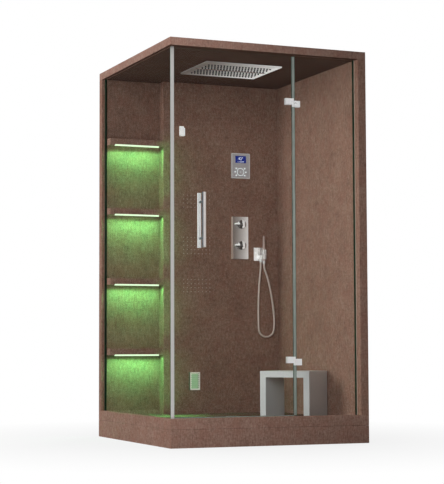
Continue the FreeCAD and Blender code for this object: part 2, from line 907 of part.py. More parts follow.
def door():
    height = ("door_low", "door_high")
    pane = block("door_pane", ("left + door_left", "door_edge"), ("glass_front", "glass_back"), height)
    through = ("glass_front - overrun", "glass_back + overrun")
    holes = []
    for number, up in enumerate(HINGE_HEIGHTS, start=1):
        holes.append(rod("door_bolt_hole_%d" % number, "y", "clamp_bolt_radius + glass_hole_gap",
                         (DOOR_BOLT_X, "%s + leaf_step / 2" % up), through))
    for number, up in enumerate(HANDLE_POSTS, start=1):
        holes.append(rod("door_handle_hole_%d" % number, "y", "handle_post_radius + glass_slack",
                         ("handle_x", up), through))
    piece(cut("door_glass", pane, holes), "door_glass")
    middle = "(glass_front + glass / 2)"
    thin = ("%s - seal_thickness / 2" % middle, "%s + seal_thickness / 2" % middle)
    piece(block("hinge_seal", ("door_edge", "fixed_edge - channel_wall"), thin, height), "hinge_seal")
    edges = [
        block("latch_seal_strip", ("left + door_left - latch_seal", "left + door_left"), thin, height),
        block("drip_seal_strip", ("left + door_left", "door_edge"), thin,
              ("door_low - drip_seal", "door_low")),
    ]
    piece(group("door_edge_seals", edges), "door_edge_seals")


HANDLE_POSTS = (
    "(handle_bottom + handle_post_inset)",
    "(handle_bottom + handle_length - handle_post_inset)",
)


def hinge_leaf(name, plate_x, rear_x, bolt_x, low, barrel_z, pin_hole):
    """A glass clamp: a front plate with its barrel, a back plate and the bolt between them."""
    high = "%s + leaf_height" % low
    front = block(name + "_front", plate_x, ("pivot_y", "glass_front"), (low, high))
    rear = block(name + "_rear", rear_x, ("glass_back", "glass_back + leaf_plate * 0.75"), (low, high))
    bolt = rod(name + "_bolt", "y", "clamp_bolt_radius", (bolt_x, "%s + leaf_height / 2" % low),
               ("glass_front", "glass_back"))
    barrel = rod(name + "_barrel", "z", "barrel_radius", ("pivot_x", "pivot_y"), barrel_z)
    near, far = ("pivot_x - barrel_radius - leaf_clear", "pivot_x + barrel_radius + leaf_clear")
    door_side = "door" in name
    neck_x = (near, "pivot_x") if door_side else ("pivot_x", far)
    neck = block(name + "_neck", neck_x, ("pivot_y", "pivot_y + barrel_radius - leaf_clear"), barrel_z)
    solid = fuse(name + "_solid", [front, rear, bolt, barrel, neck])
    hole = rod(name + "_pin_hole", "z", pin_hole, ("pivot_x", "pivot_y"),
               ("%s - overrun" % barrel_z[0], "%s + overrun" % barrel_z[1]))
    return cut(name, solid, [hole])


def hinges():
    """Two glass-to-glass hinges.  The door leaf stands one step higher than the fixed leaf."""
    door_leaves = []
    fixed_leaves = []
    pins = []
    side = "barrel_radius + leaf_clear"
    for number, up in enumerate(HINGE_HEIGHTS, start=1):
        door_low = "(%s - leaf_height / 2 + leaf_step / 2)" % up
        fixed_low = "(%s - leaf_height / 2 - leaf_step / 2)" % up
        door_plate = ("pivot_x - (%s) - leaf_length" % side, "pivot_x - (%s)" % side)
        fixed_plate = ("pivot_x + %s" % side, "pivot_x + %s + leaf_length" % side)
        door_leaves.append(hinge_leaf(
            "door_leaf_%d" % number, door_plate, door_plate, DOOR_BOLT_X, door_low,
            ("%s + barrel_gap" % up, "%s + leaf_height" % door_low), "pin_radius + running_gap"))
        fixed_leaves.append(hinge_leaf(
            "fixed_leaf_%d" % number, fixed_plate, ("fixed_edge", fixed_plate[1]), FIXED_BOLT_X,
            fixed_low, (fixed_low, up), "pin_radius"))
        pins.append(rod("hinge_pin_%d" % number, "z", "pin_radius", ("pivot_x", "pivot_y"),
                        (fixed_low, "%s + leaf_height" % door_low)))
    piece(group("door_hinge_leaves", door_leaves), "door_hinge_leaves")
    piece(group("fixed_hinge_leaves", fixed_leaves), "fixed_hinge_leaves")
    piece(group("hinge_pins", pins), "hinge_pins")


def handle():
    """Two straight bars back to back, joined by two posts through the glass."""
    span = ("handle_bottom", "handle_bottom + handle_length")
    outer_bar = rod("outer_handle_bar", "z", "handle_radius", ("handle_x", "handle_out_y"), span)
    inner_bar = rod("inner_handle_bar", "z", "handle_radius", ("handle_x", "handle_in_y"), span)
    reach = ("handle_out_y", "handle_in_y - handle_radius + handle_socket")
    posts = [rod("handle_post_%d" % number, "y", "handle_post_radius", ("handle_x", up), reach)
             for number, up in enumerate(HANDLE_POSTS, start=1)]
    sockets = [rod("handle_socket_%d" % number, "y", "handle_post_radius", ("handle_x", up), reach)
               for number, up in enumerate(HANDLE_POSTS, start=1)]
    piece(fuse("outer_handle", [outer_bar] + posts), "outer_handle")
    piece(cut("inner_handle", inner_bar, sockets), "inner_handle")


# ---- fittings on the housing ----

def robe_hook():
    """A folded strip: a tall back plate on the wall, a floor and a shorter tongue in front."""
    body = new_body("robe_hook")
    profile = sketch_on(body, "hook_profile", "YZ_Plane", "housing_left + hook_across - hook_width / 2")
    wall = "housing_front_y"
    outline(profile, [
        (wall, "hook_bottom"),
        (wall, "hook_bottom + hook_height"),
        ("%s - hook_plate" % wall, "hook_bottom + hook_height"),
        ("%s - hook_plate" % wall, "hook_bottom + hook_plate"),
        ("%s - hook_depth + hook_plate" % wall, "hook_bottom + hook_plate"),
        ("%s - hook_depth + hook_plate" % wall, "hook_bottom + hook_tongue"),
        ("%s - hook_depth" % wall, "hook_bottom + hook_tongue"),
        ("%s - hook_depth" % wall, "hook_bottom"),
    ])
    pad(body, profile, "hook_width")
    return piece(body, "robe_hook")


KEY_SPOTS = {"power_key": ("power_key_radius", "keypad_x", "keypad_height")}
for number, (side, turn) in enumerate(((1, 1), (1, 0), (1, -1), (-1, -1), (-1, 0), (-1, 1)), start=1):
    KEY_SPOTS["key_%d" % number] = (
        "small_key_radius",
        "(keypad_x + %d * small_key_circle * cos(small_key_angle * %d))" % (side, turn),
        "(keypad_height + small_key_circle * sin(small_key_angle * %d))" % turn,
    )


def control_panel():
    """The bezel with a recess for the display and holes for seven keys."""
    body = new_body("control_panel")
    plate = sketch_on(body, "panel_outline", "XZ_Plane", "-housing_front_y")
    rectangle(plate, "fittings_left", "fittings_left + panel_width",
              "panel_bottom", "panel_bottom + panel_height")
    pad(body, plate, "panel_thickness")
    soften(body, "panel_corner", runs_along("y"))
    recess = sketch_on(body, "panel_display_recess", "XZ_Plane", "-panel_front_y")
    rectangle(recess, "panel_x - display_width / 2", "panel_x + display_width / 2",
              "display_bottom", "display_bottom + display_height")
    pocket(body, recess, "display_thickness")
    keys = sketch_on(body, "panel_key_holes", "XZ_Plane", "-panel_front_y")
    for radius, across, up in KEY_SPOTS.values():
        circle(keys, "%s + key_gap" % radius, across, up)
    pocket(body, keys, "panel_thickness")
    piece(body, "control_panel")
    piece(block("display_window", ("panel_x - display_width / 2", "panel_x + display_width / 2"),
                ("panel_front_y", "panel_front_y + display_thickness"),
                ("display_bottom", "display_bottom + display_height")), "display_window")
    for name, (radius, across, up) in KEY_SPOTS.items():
        piece(rod(name, "y", radius, (across, up),
                  ("panel_front_y - key_proud", "panel_front_y - key_proud + key_length")), name)


def mixer():
    """The cover plate, the valve body behind it and one turning knob with its spindle for each."""
    body = new_body("mixer_plate")
    plate = sketch_on(body, "mixer_outline", "XZ_Plane", "-housing_front_y")
    rectangle(plate, "fittings_left", "fittings_left + mixer_width",
              "mixer_bottom", "mixer_bottom + mixer_height")
    pad(body, plate, "mixer_depth")
    holes = sketch_on(body, "mixer_spindle_holes", "XZ_Plane", "-mixer_front_y")
    for up in KNOB_HEIGHTS.values():
        circle(holes, "spindle_radius + spindle_clear", "mixer_x", up)
    pocket(body, holes, "mixer_depth")
    piece(body, "mixer_plate")
    middle = "(mixer_bottom + mixer_height / 2)"
    valve = block("valve_block", ("mixer_x - valve_width / 2", "mixer_x + valve_width / 2"),
                  ("housing_inner", "housing_inner + valve_depth"),
                  ("%s - valve_height / 2" % middle, "%s + valve_height / 2" % middle))
    bores = [rod("valve_%s_bore" % name, "y", "spindle_radius + running_gap", ("mixer_x", up),
                 ("housing_inner - overrun", "spindle_end + spindle_clear"))
             for name, up in KNOB_HEIGHTS.items()]
    piece(cut("valve_body", valve, bores), "valve_body")
    for name, up in KNOB_HEIGHTS.items():
        piece(knob(name, up), "%s_knob" % name)


def knob(name, up):
    """A narrow skirt, a wide disc, a grip fin across it, a tapered lever and the spindle behind."""
    total = "(knob_skirt_length + knob_disc_length)"
    grip = turned("%s_grip" % name, [
        ("0", "0"),
        ("knob_skirt_radius", "0"),
        ("knob_skirt_radius * 0.9", "knob_skirt_length"),
        ("knob_disc_radius", "knob_skirt_length"),
        ("knob_disc_radius", "%s - knob_chamfer" % total),
        ("knob_disc_radius - knob_chamfer", total),
        ("0", total),
    ])
    grip.Placement = Placement(Vector(), Rotation(Vector(1, 0, 0), 90))
    face = "(mixer_front_y - knob_gap)"
    move(grip, "mixer_x", face, up)
    fin = block("%s_fin" % name, ("mixer_x - knob_fin_width / 2", "mixer_x + knob_fin_width / 2"),
                ("%s - %s - knob_fin_proud" % (face, total), "%s - knob_skirt_length" % face),
                ("%s - knob_disc_radius + knob_fin_inset" % up,
                 "%s + knob_disc_radius - knob_fin_inset" % up))
    lever = turned("%s_lever" % name, [
        ("0", "0"),
        ("knob_lever_root", "0"),
        ("knob_lever_tip", "knob_lever_length - knob_chamfer"),
        ("knob_lever_tip - knob_chamfer", "knob_lever_length"),
        ("0", "knob_lever_length"),
    ])
    lever.Placement = Placement(Vector(), Rotation(Vector(0, 1, 0), -90))
    move(lever, "mixer_x", "%s - %s" % (face, total), up)
    spindle = rod("%s_spindle" % name, "y", "spindle_radius", ("mixer_x", up),
                  ("%s - knob_skirt_length" % face, "spindle_end"))
    return fuse("%s_knob_solid" % name, [grip, fin, lever, spindle])


def water_pipes():
    """Cold and hot from the inlets up to the valve, then the riser to the rain head and the
    feed to the shower outlet."""
    radius = size("pipe_radius")

    def bend(before, corner, after, turn):
        shortest = min((corner - before).Length, (after - corner).Length)
        return min(size("pipe_bend"), 0.45 * shortest / math.tan(turn / 2))
    sleeve = DOC.getObject("valve_block")
    under = sleeve.Shape.BoundBox.ZMin
    top = sleeve.Shape.BoundBox.ZMax
    line_y = place("riser_y")
    pipes = []
    for name in INLETS:
        hole = DOC.getObject("inlet_hole_" + name)
        across = hole.Shape.BoundBox.Center.x
        low = size("inlet_height")
        route = rounded_route([Vector(across, place("wall_back"), low), Vector(across, line_y, low),
                               Vector(across, line_y, under)], bend)
        union = Part.makeCylinder(size("inlet_radius"), size("wall_thickness"),
                                  Vector(across, place("wall_back"), low), Vector(0, 1, 0))
        depth = size("inlet_bore_depth")
        bore = Part.makeCylinder(size("inlet_bore"), depth,
                                 Vector(across, place("back") - depth, low), Vector(0, 1, 0))
        pipes.append(tube(route, radius).fuse(union).cut(bore).removeSplitter())
    riser = rounded_route([
        Vector(place("mixer_x"), line_y, top),
        Vector(place("mixer_x"), line_y, place("riser_top")),
        Vector(place("rain_x"), line_y, place("riser_top")),
        Vector(place("rain_x"), place("rain_y + rain_length / 2 - rain_box_margin"), place("riser_top")),
    ], bend)
    feed_z = place("elbow_height + elbow_size / 2")
    start_z = place(KNOB_HEIGHTS["temperature"])
    feed = rounded_route([
        Vector(place("mixer_x + valve_width / 2"), line_y, start_z),
        Vector(place("drop_x"), line_y, start_z),
        Vector(place("drop_x"), line_y, feed_z),
        Vector(place("drop_x"), place("housing_front_y"), feed_z),
    ], bend)
    piece(feature("riser_pipe", Part.makeCompound([tube(riser, radius), tube(feed, radius)])),
          "riser_pipe")
    return piece(feature("water_pipes", Part.makeCompound(pipes)), "water_pipes")


PLACE_GAUGE = []


def place(name):
    """The number that a place or size has now, read off a hidden gauge line."""
    if not PLACE_GAUGE:
        PLACE_GAUGE.append(DOC.addObject("Part::Vertex", "place_gauge"))
    gauge = PLACE_GAUGE[0]
    bind(gauge, "X", name)
    gauge.recompute()
    return gauge.X.Value


def shower_outlet():
    """The square wall plate, its elbow with the hose spigot, and the cradle for the handset."""
    plate = block("outlet_plate_block", ("outlet_edge", "outlet_edge + outlet_width"),
                  ("housing_front_y - outlet_plate", "housing_front_y"),
                  ("elbow_height - outlet_foot", "elbow_height - outlet_foot + outlet_height"))
    elbow = block("outlet_elbow", ("drop_x - elbow_size / 2", "drop_x + elbow_size / 2"),
                  ("drop_y - elbow_size / 2", "housing_front_y - outlet_plate"),
                  ("elbow_height", "elbow_height + elbow_size"))
    arm = block("outlet_arm", ("drop_x", "holder_x"), ("holder_y", "housing_front_y - outlet_plate"),
                ("elbow_height", "elbow_height + elbow_size"))
    cradle = rod("outlet_cradle", "z", "holder_radius", ("holder_x", "holder_y"),
                 ("elbow_height", "elbow_height + holder_height"))
    bore = rod("outlet_cradle_bore", "z", "handset_radius + handset_gap", ("holder_x", "holder_y"),
               ("elbow_height - overrun", "elbow_height + holder_height + overrun"))
    solid = fuse("outlet_solid", [plate, elbow, arm, cradle])
    piece(cut("shower_outlet", solid, [bore]), "shower_outlet")
    piece(hose_nut("outlet_nut", "drop_x", "drop_y", "hose_start_z"), "outlet_nut")


def hose_nut(name, across, along, low):
    """A round hose nut, chamfered where the hose leaves it."""
    nut = turned(name, [
        ("0", "0"),
        ("nut_radius - nut_chamfer", "0"),
        ("nut_radius", "nut_chamfer * 2"),
        ("nut_radius", "nut_length"),
        ("0", "nut_length"),
    ])
    move(nut, across, along, low)
    return nut


def handset():
    """A slim round stick whose collar rests on the cradle, with the hose nut below."""
    top = "handset_length"
    seat = "(handset_hang + holder_height + handset_gap)"
    body = turned("handset", [
        ("0", "0"),
        ("handset_radius - nut_chamfer", "0"),
        ("handset_radius", "nut_chamfer"),
        ("handset_radius", seat),
        ("handset_collar_radius", seat),
        ("handset_collar_radius", "%s + handset_collar" % seat),
        ("handset_radius", "%s + handset_collar" % seat),
        ("handset_tip_radius", "%s - handset_tip_round" % top),
        ("handset_tip_radius - handset_tip_round", top),
        ("0", top),
    ])
    move(body, "holder_x", "holder_y", "handset_bottom")
    piece(body, "handset")
    piece(hose_nut("handset_nut", "holder_x", "holder_y", "handset_bottom - nut_length"), "handset_nut")


def hose():
    """The free hose: straight runs and arcs, each arc as large as its runs allow."""
    corner = Vector(place("outlet_edge"), place("housing_front_y"), place("hose_start_z"))
    points = [Vector(place("drop_x"), place("drop_y"), place("hose_start_z"))]
    points += [Vector(*point) + corner for point in HOSE_POINTS]
    points.append(Vector(place("holder_x"), place("holder_y"), place("handset_bottom - nut_length")))
    radii = []

    def widest(before, corner, after, turn):
        shortest = min((corner - before).Length, (after - corner).Length)
        radii.append(0.45 * shortest / math.tan(turn / 2))
        return radii[-1]
    route = rounded_route(points, widest)
    listed = ", ".join("%.0f" % radius for radius in radii)
    print("hose: length %.0f mm, arc radii %s mm" % (route.Length, listed))
    return piece(feature("hose", tube(route, size("hose_radius"))), "hose")


# ---- steam ----

def steam_outlet():
    """A framed cover whose window is crossed by a row of tilted louvres, and the box behind it."""
    body = new_body("steam_cover")
    shell = sketch_on(body, "steam_shell", "XZ_Plane", "0")
    rectangle(shell, "-steam_width / 2", "steam_width / 2", "-steam_height / 2", "steam_height / 2")
    rectangle(shell, "-steam_width / 2 + steam_rim", "steam_width / 2 - steam_rim",
              "-steam_height / 2 + steam_rim", "steam_height / 2 - steam_rim")
    pad(body, shell, "steam_depth")
    low = "(-steam_height / 2 + steam_rim + louvre_inset)"
    back = "(-steam_depth + louvre_inset + louvre_reach)"
    rise = "louvre_reach * tan(louvre_tilt)"
    blade = sketch_on(body, "steam_louvre", "YZ_Plane", "-steam_width / 2 + steam_rim / 2")
    outline(blade, [
        ("-steam_depth + louvre_inset", low),
        (back, "%s + %s" % (low, rise)),
        (back, "%s + %s + louvre_thickness" % (low, rise)),
        ("-steam_depth + louvre_inset", "%s + louvre_thickness" % low),
    ])
    first = pad(body, blade, "steam_width - steam_rim")
    inside = place("steam_height - 2 * steam_rim - 2 * louvre_inset - %s - louvre_thickness" % rise)
    count = max(2, int(inside / size("louvre_pitch")) + 1)
    repeat(body, first, "Z_Axis", "louvre_pitch", count)
    move(body, "steam_x", "housing_front_y", "steam_z")
    piece(body, "steam_cover")
    margin = "steam_box_margin"
    piece(block("steam_box", ("steam_edge + %s" % margin, "steam_edge + steam_width - %s" % margin),
                ("housing_front_y", "housing_front_y + steam_box_depth"),
                ("steam_bottom + %s" % margin, "steam_bottom + steam_height - %s" % margin)), "steam_box")


def steam_generator():
    """The flat boiler on the back wall, and the pipe down from it into the steam box."""
    case = block("generator_case",
                 ("housing_left + generator_left", "housing_left + generator_left + generator_width"),
                 ("wall_back - generator_depth", "wall_back"),
                 ("generator_bottom", "generator_bottom + generator_height"))
    piece(rounded("steam_generator", case, "generator_corner", runs_along("y")), "steam_generator")
    piece(rod("steam_pipe", "z", "pipe_radius",
              ("steam_x", "housing_front_y + steam_box_depth - pipe_radius - steam_pipe_gap"),
              ("steam_bottom + steam_height - steam_box_margin", "generator_bottom")), "steam_pipe")


# ---- rain head ----

def rain_head():
    """The ceiling plate with its raised rim, the water box above it and two fields of tips."""
    body = new_body("rain_plate")
    plate = sketch_on(body, "rain_outline", "XY_Plane", "ceiling")
    rectangle(plate, "rain_x - rain_width / 2", "rain_x + rain_width / 2",
              "rain_y - rain_length / 2", "rain_y + rain_length / 2")
    pad(body, plate, "rain_plate", reverse=True)
    recess = sketch_on(body, "rain_recess_outline", "XY_Plane", "ceiling - rain_plate")
    rectangle(recess, "rain_x - rain_width / 2 + rain_rim", "rain_x + rain_width / 2 - rain_rim",
              "rain_y - rain_length / 2 + rain_rim", "rain_y + rain_length / 2 - rain_rim")
    pocket(body, recess, "rain_recess", reverse=True)
    piece(body, "rain_plate")
    half_x = "(rain_width / 2 - rain_box_margin)"
    half_y = "(rain_length / 2 - rain_box_margin)"
    piece(block("rain_box", ("rain_x - %s" % half_x, "rain_x + %s" % half_x),
                ("rain_y - %s" % half_y, "rain_y + %s" % half_y),
                ("ceiling", "ceiling + rain_box_height")), "rain_box")
    face = place("ceiling") - size("rain_plate") + size("rain_recess")
    inside_x = size("rain_width") / 2 - size("rain_rim") - size("rain_pitch")
    inside_y = size("rain_length") / 2 - size("rain_rim") - size("rain_pitch") / 2
    across = int(inside_x / size("rain_pitch"))
    deep = int(inside_y / size("rain_pitch"))
    tips = []
    for i in range(-across, across + 1):
        for j in range(1, deep + 1):
            for side in (-1, 1):
                spot = Vector(place("rain_x") + i * size("rain_pitch"),
                              place("rain_y") + side * (j - 0.15) * size("rain_pitch"), face)
                tips.append(hex_tip(spot, size("rain_tip_radius"), size("rain_tip_proud"), Vector(0, 0, -1)))
    piece(feature("rain_tips", Part.makeCompound(tips)), "rain_tips")


def steps(length, pitch):
    """How many places a row of a length has at a pitch."""
    return int(length / pitch + 0.01) + 1


def hex_tip(spot, radius, length, aim):
    """A six-sided nozzle tip that stands on a face."""
    side = Vector(1, 0, 0)
    other = aim.cross(side)
    turns = [k * math.pi / 3 for k in range(6)]
    corners = [spot + side * (radius * math.cos(turn)) + other * (radius * math.sin(turn))
               for turn in turns]
    wire = Part.makePolygon(corners + corners[:1])
    return Part.Face(wire).extrude(aim * length)


JET_FIELDS = ("lower_jets", "middle_jets", "upper_jets")


def body_jets():
    """Three fields of small jets in the housing front, each filled at one pitch."""
    pitch = size("jet_pitch")
    corner = Vector(place("housing_left + jet_left"), place("housing_front_y"), 0)
    columns = steps(size("jet_field_width"), pitch)
    tips = []
    for field in JET_FIELDS:
        for column in range(columns):
            for row in range(steps(size(field + "_height"), pitch)):
                spot = corner + Vector(column * pitch, 0, size(field) + row * pitch)
                tips.append(hex_tip(spot, size("jet_radius"), size("jet_proud"), Vector(0, -1, 0)))
    piece(feature("body_jets", Part.makeCompound(tips)), "body_jets")


# ---- stool ----

def stool():
    """A loose stool: one board bent into a U that stands on its two legs."""
    body = new_body("stool")
    profile = sketch_on(body, "stool_profile", "XZ_Plane", "-stool_depth / 2")
    half = "stool_width / 2"
    tall = "stool_top - tray_floor"
    outline(profile, [
        ("-%s" % half, "0"),
        ("-%s + stool_board" % half, "0"),
        ("-%s + stool_board" % half, "%s - stool_board" % tall),
        ("%s - stool_board" % half, "%s - stool_board" % tall),
        ("%s - stool_board" % half, "0"),
        (half, "0"),
        (half, tall),
        ("-%s" % half, tall),
    ])
    pad(body, profile, "stool_depth")
    soften(body, "stool_edge", runs_along("y"))
    body.Placement = Placement(Vector(), Rotation(Vector(0, 0, 1), size("stool_turn")))
    move(body, "stool_x", "front + stool_back", "tray_floor")
    return piece(body, "stool")


def build():
    fill_sheet()
    shower_tray()
    aprons()
    base_frame()
    levelling_feet()
    drain()
    walls()
    roof()
    housing()
    shelves()
    corner_post()
    fixed_glazing()
    wall_channels()
    door()
    hinges()
    handle()
    robe_hook()
    control_panel()
    mixer()
    DOC.recompute()
    water_pipes()
    shower_outlet()
    handset()
    hose()
    steam_outlet()
    steam_generator()
    rain_head()
    body_jets()
    stool()
    DOC.recompute()


def check():
    """Stop on an object that failed to recompute or a piece without a valid solid."""
    for thing in DOC.Objects:
        if {"Invalid", "Error"} & set(thing.State):
            raise RuntimeError("%s is %s" % (thing.Name, thing.State))
    for thing in PIECES:
        shape = thing.Shape
        if shape.isNull() or not shape.isValid() or not shape.Solids:
            raise RuntimeError("%s has no valid shape" % thing.Label)


def export():
    os.makedirs("parts", exist_ok=True)
    for thing in PIECES:
        thing.Shape.exportStep("parts/%s.step" % thing.Label)
    print("%d pieces" % len(PIECES))


build()
check()
export()
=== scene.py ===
"""Looks of the steam shower cabin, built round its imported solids.

Every length is in metres, in the solids' own frame: X to the right, Y to the back, Z up, with
the origin on the floor under the middle of the square footprint. The camera's angles are in
radians, its lens and sensor in millimetres, and lamps in watts.
"""
import json
import math

import bmesh
import bpy
from mathutils import Matrix, Vector


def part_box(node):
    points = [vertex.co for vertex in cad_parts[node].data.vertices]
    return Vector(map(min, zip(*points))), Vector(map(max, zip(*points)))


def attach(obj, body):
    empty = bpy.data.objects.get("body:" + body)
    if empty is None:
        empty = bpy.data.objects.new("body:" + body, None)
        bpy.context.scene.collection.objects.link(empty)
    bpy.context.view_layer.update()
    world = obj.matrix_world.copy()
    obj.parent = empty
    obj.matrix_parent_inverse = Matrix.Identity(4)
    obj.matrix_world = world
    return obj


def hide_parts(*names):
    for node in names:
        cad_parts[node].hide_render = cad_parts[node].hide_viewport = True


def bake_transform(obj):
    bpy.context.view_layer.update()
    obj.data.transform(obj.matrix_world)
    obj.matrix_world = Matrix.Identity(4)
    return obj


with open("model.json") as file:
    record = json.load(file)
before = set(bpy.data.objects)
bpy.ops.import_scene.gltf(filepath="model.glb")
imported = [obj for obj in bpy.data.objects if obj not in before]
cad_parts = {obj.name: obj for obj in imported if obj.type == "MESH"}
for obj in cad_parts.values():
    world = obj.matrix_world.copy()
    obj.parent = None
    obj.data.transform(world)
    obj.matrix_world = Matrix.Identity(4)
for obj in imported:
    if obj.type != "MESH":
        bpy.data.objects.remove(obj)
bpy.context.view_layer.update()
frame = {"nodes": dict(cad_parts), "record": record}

NODES = frame["nodes"]
SCENE = bpy.context.scene
SCENE.view_settings.view_transform = "Standard"


def add_object(name, data):
    """A new object of the scene that shows some data."""
    thing = bpy.data.objects.new(name, data)
    SCENE.collection.objects.link(thing)
    return thing


# ---- camera ----

CAMERA_AT = (-3.5094, -8.0265, 0.5466)
CAMERA_YAW = 0.3811
CAMERA_PITCH = 0.0699
CAMERA_ROLL = -0.0018
LENS = 110.475
SENSOR = 36
SHIFT_X = 0.0826
VIEW_END = 60


def make_camera():
    """A camera at the photograph's place: left of the door, a little below the middle."""
    ahead = Vector((math.sin(CAMERA_YAW) * math.cos(CAMERA_PITCH),
                    math.cos(CAMERA_YAW) * math.cos(CAMERA_PITCH), math.sin(CAMERA_PITCH)))
    level = Vector((math.cos(CAMERA_YAW), -math.sin(CAMERA_YAW), 0))
    upright = level.cross(ahead)
    right = level * math.cos(CAMERA_ROLL) + upright * math.sin(CAMERA_ROLL)
    up = upright * math.cos(CAMERA_ROLL) - level * math.sin(CAMERA_ROLL)
    turn = Matrix((right, up, -ahead)).transposed()
    data = bpy.data.cameras.new("camera")
    data.lens = LENS
    data.sensor_width = SENSOR
    data.shift_x = SHIFT_X
    data.clip_end = VIEW_END
    camera = add_object("camera", data)
    camera.matrix_world = Matrix.Translation(CAMERA_AT) @ turn.to_4x4()
    SCENE.camera = camera


make_camera()


# ---- colours and shader graphs ----

def colour(text):
    """The linear colour of an sRGB code such as #8d7269."""
    values = [int(text[i:i + 2], 16) / 255 for i in (1, 3, 5)]
    linear = [v / 12.92 if v <= 0.04045 else ((v + 0.055) / 1.055) ** 2.4 for v in values]
    return (*linear, 1.0)


def grey(level):
    """A linear grey, from 0, black, to 1, white."""
    return (level, level, level, 1.0)


BLACK = grey(0.0)
WHITE = grey(1.0)


class Graph:
    """A material's shader graph, with short calls for the nodes that it uses."""

    def __init__(self, name):
        self.material = bpy.data.materials.new(name)
        self.material.use_nodes = True
        self.tree = self.material.node_tree
        self.tree.nodes.clear()
        self.end = self.tree.nodes.new("ShaderNodeOutputMaterial")
        place = self.add("ShaderNodeTexCoord").outputs
        self.coords, self.facing = place["Object"], place["Normal"]

    def feed(self, socket, value):
        """Link a socket to a node's output, or set it to a plain value."""
        if isinstance(value, bpy.types.NodeSocket):
            self.tree.links.new(value, socket)
        else:
            socket.default_value = value

    def add(self, kind, inputs=None, **settings):
        node = self.tree.nodes.new(kind)
        for key, value in settings.items():
            setattr(node, key, value)
        for key, value in (inputs or {}).items():
            self.feed(node.inputs[key], value)
        return node

    def math(self, operation, *values):
        return self.add("ShaderNodeMath", dict(enumerate(values)), operation=operation).outputs[0]

    def axis(self, name):
        """One of the surface point's own coordinates."""
        return self.add("ShaderNodeSeparateXYZ", {0: self.coords}).outputs[name]

    def faces(self, name):
        """One part of the way the surface faces, from -1 to 1."""
        return self.add("ShaderNodeSeparateXYZ", {0: self.facing}).outputs[name]

    def both(self, first, second):
        """1 where both are 1."""
        return self.math("MULTIPLY", first, second)

    def between(self, value, low, high):
        """1 where a value lies between two limits."""
        return self.both(self.math("GREATER_THAN", value, low), self.math("LESS_THAN", value, high))

    def weighted(self, *layers):
        """The sum of several values, each times its weight."""
        total = None
        for value, weight in layers:
            share = self.math("MULTIPLY", value, weight)
            total = share if total is None else self.math("ADD", total, share)
        return total

    def noise(self, scale, detail=3.0, roughness=0.55, stretch=(1, 1, 1)):
        place = self.coords
        if stretch != (1, 1, 1):
            place = self.add("ShaderNodeMapping", {"Vector": place, "Scale": stretch}).outputs[0]
        return self.add("ShaderNodeTexNoise", {
            "Vector": place, "Scale": scale, "Detail": detail, "Roughness": roughness,
        }).outputs["Fac"]

    def spread(self, value, low, high, to_low=0.0, to_high=1.0):
        return self.add("ShaderNodeMapRange", {
            "Value": value, "From Min": low, "From Max": high, "To Min": to_low, "To Max": to_high,
        }).outputs[0]

    def ramp(self, value, stops):
        """A colour ramp through stops of (place, sRGB code)."""
        node = self.add("ShaderNodeValToRGB", {"Fac": value})
        elements = node.color_ramp.elements
        while len(elements) < len(stops):
            elements.new(0.5)
        for element, (place, shade) in zip(elements, stops):
            element.position = place
            element.color = colour(shade)
        return node.outputs["Color"]

    def mix(self, share, first, second, blend="MIX"):
        node = self.add("ShaderNodeMix", data_type="RGBA", blend_type=blend)
        for index, value in ((0, share), (6, first), (7, second)):
            self.feed(node.inputs[index], value)
        return node.outputs[2]

    def two_tone(self, grain, first, second):
        """Two close shades, mixed by a grain."""
        return self.mix(self.spread(grain, 0.35, 0.65), colour(first), colour(second))

    def shaded(self, share, base, shade):
        """The base, times a shade where the share is 1."""
        return self.mix(share, base, self.mix(1.0, base, shade, "MULTIPLY"))

    def bump(self, height, distance, strength=1.0):
        return self.add("ShaderNodeBump", {
            "Height": height, "Distance": distance, "Strength": strength,
        }).outputs[0]

    def principled(self, **sockets):
        named = {key.replace("_", " "): value for key, value in sockets.items()}
        return self.add("ShaderNodeBsdfPrincipled", named).outputs[0]

    def blend(self, share, first, second):
        return self.add("ShaderNodeMixShader", {0: share, 1: first, 2: second}).outputs[0]

    def done(self, shader):
        self.tree.links.new(shader, self.end.inputs["Surface"])
        return self.material


# ---- materials ----

# Painted shade: the tray floor's upward faces and the roof's underside are darkened.
PAINTED_FLOOR_SHADE = grey(0.45)
PAINTED_UNDERSIDE_SHADE = (0.34, 0.32, 0.31, 1)


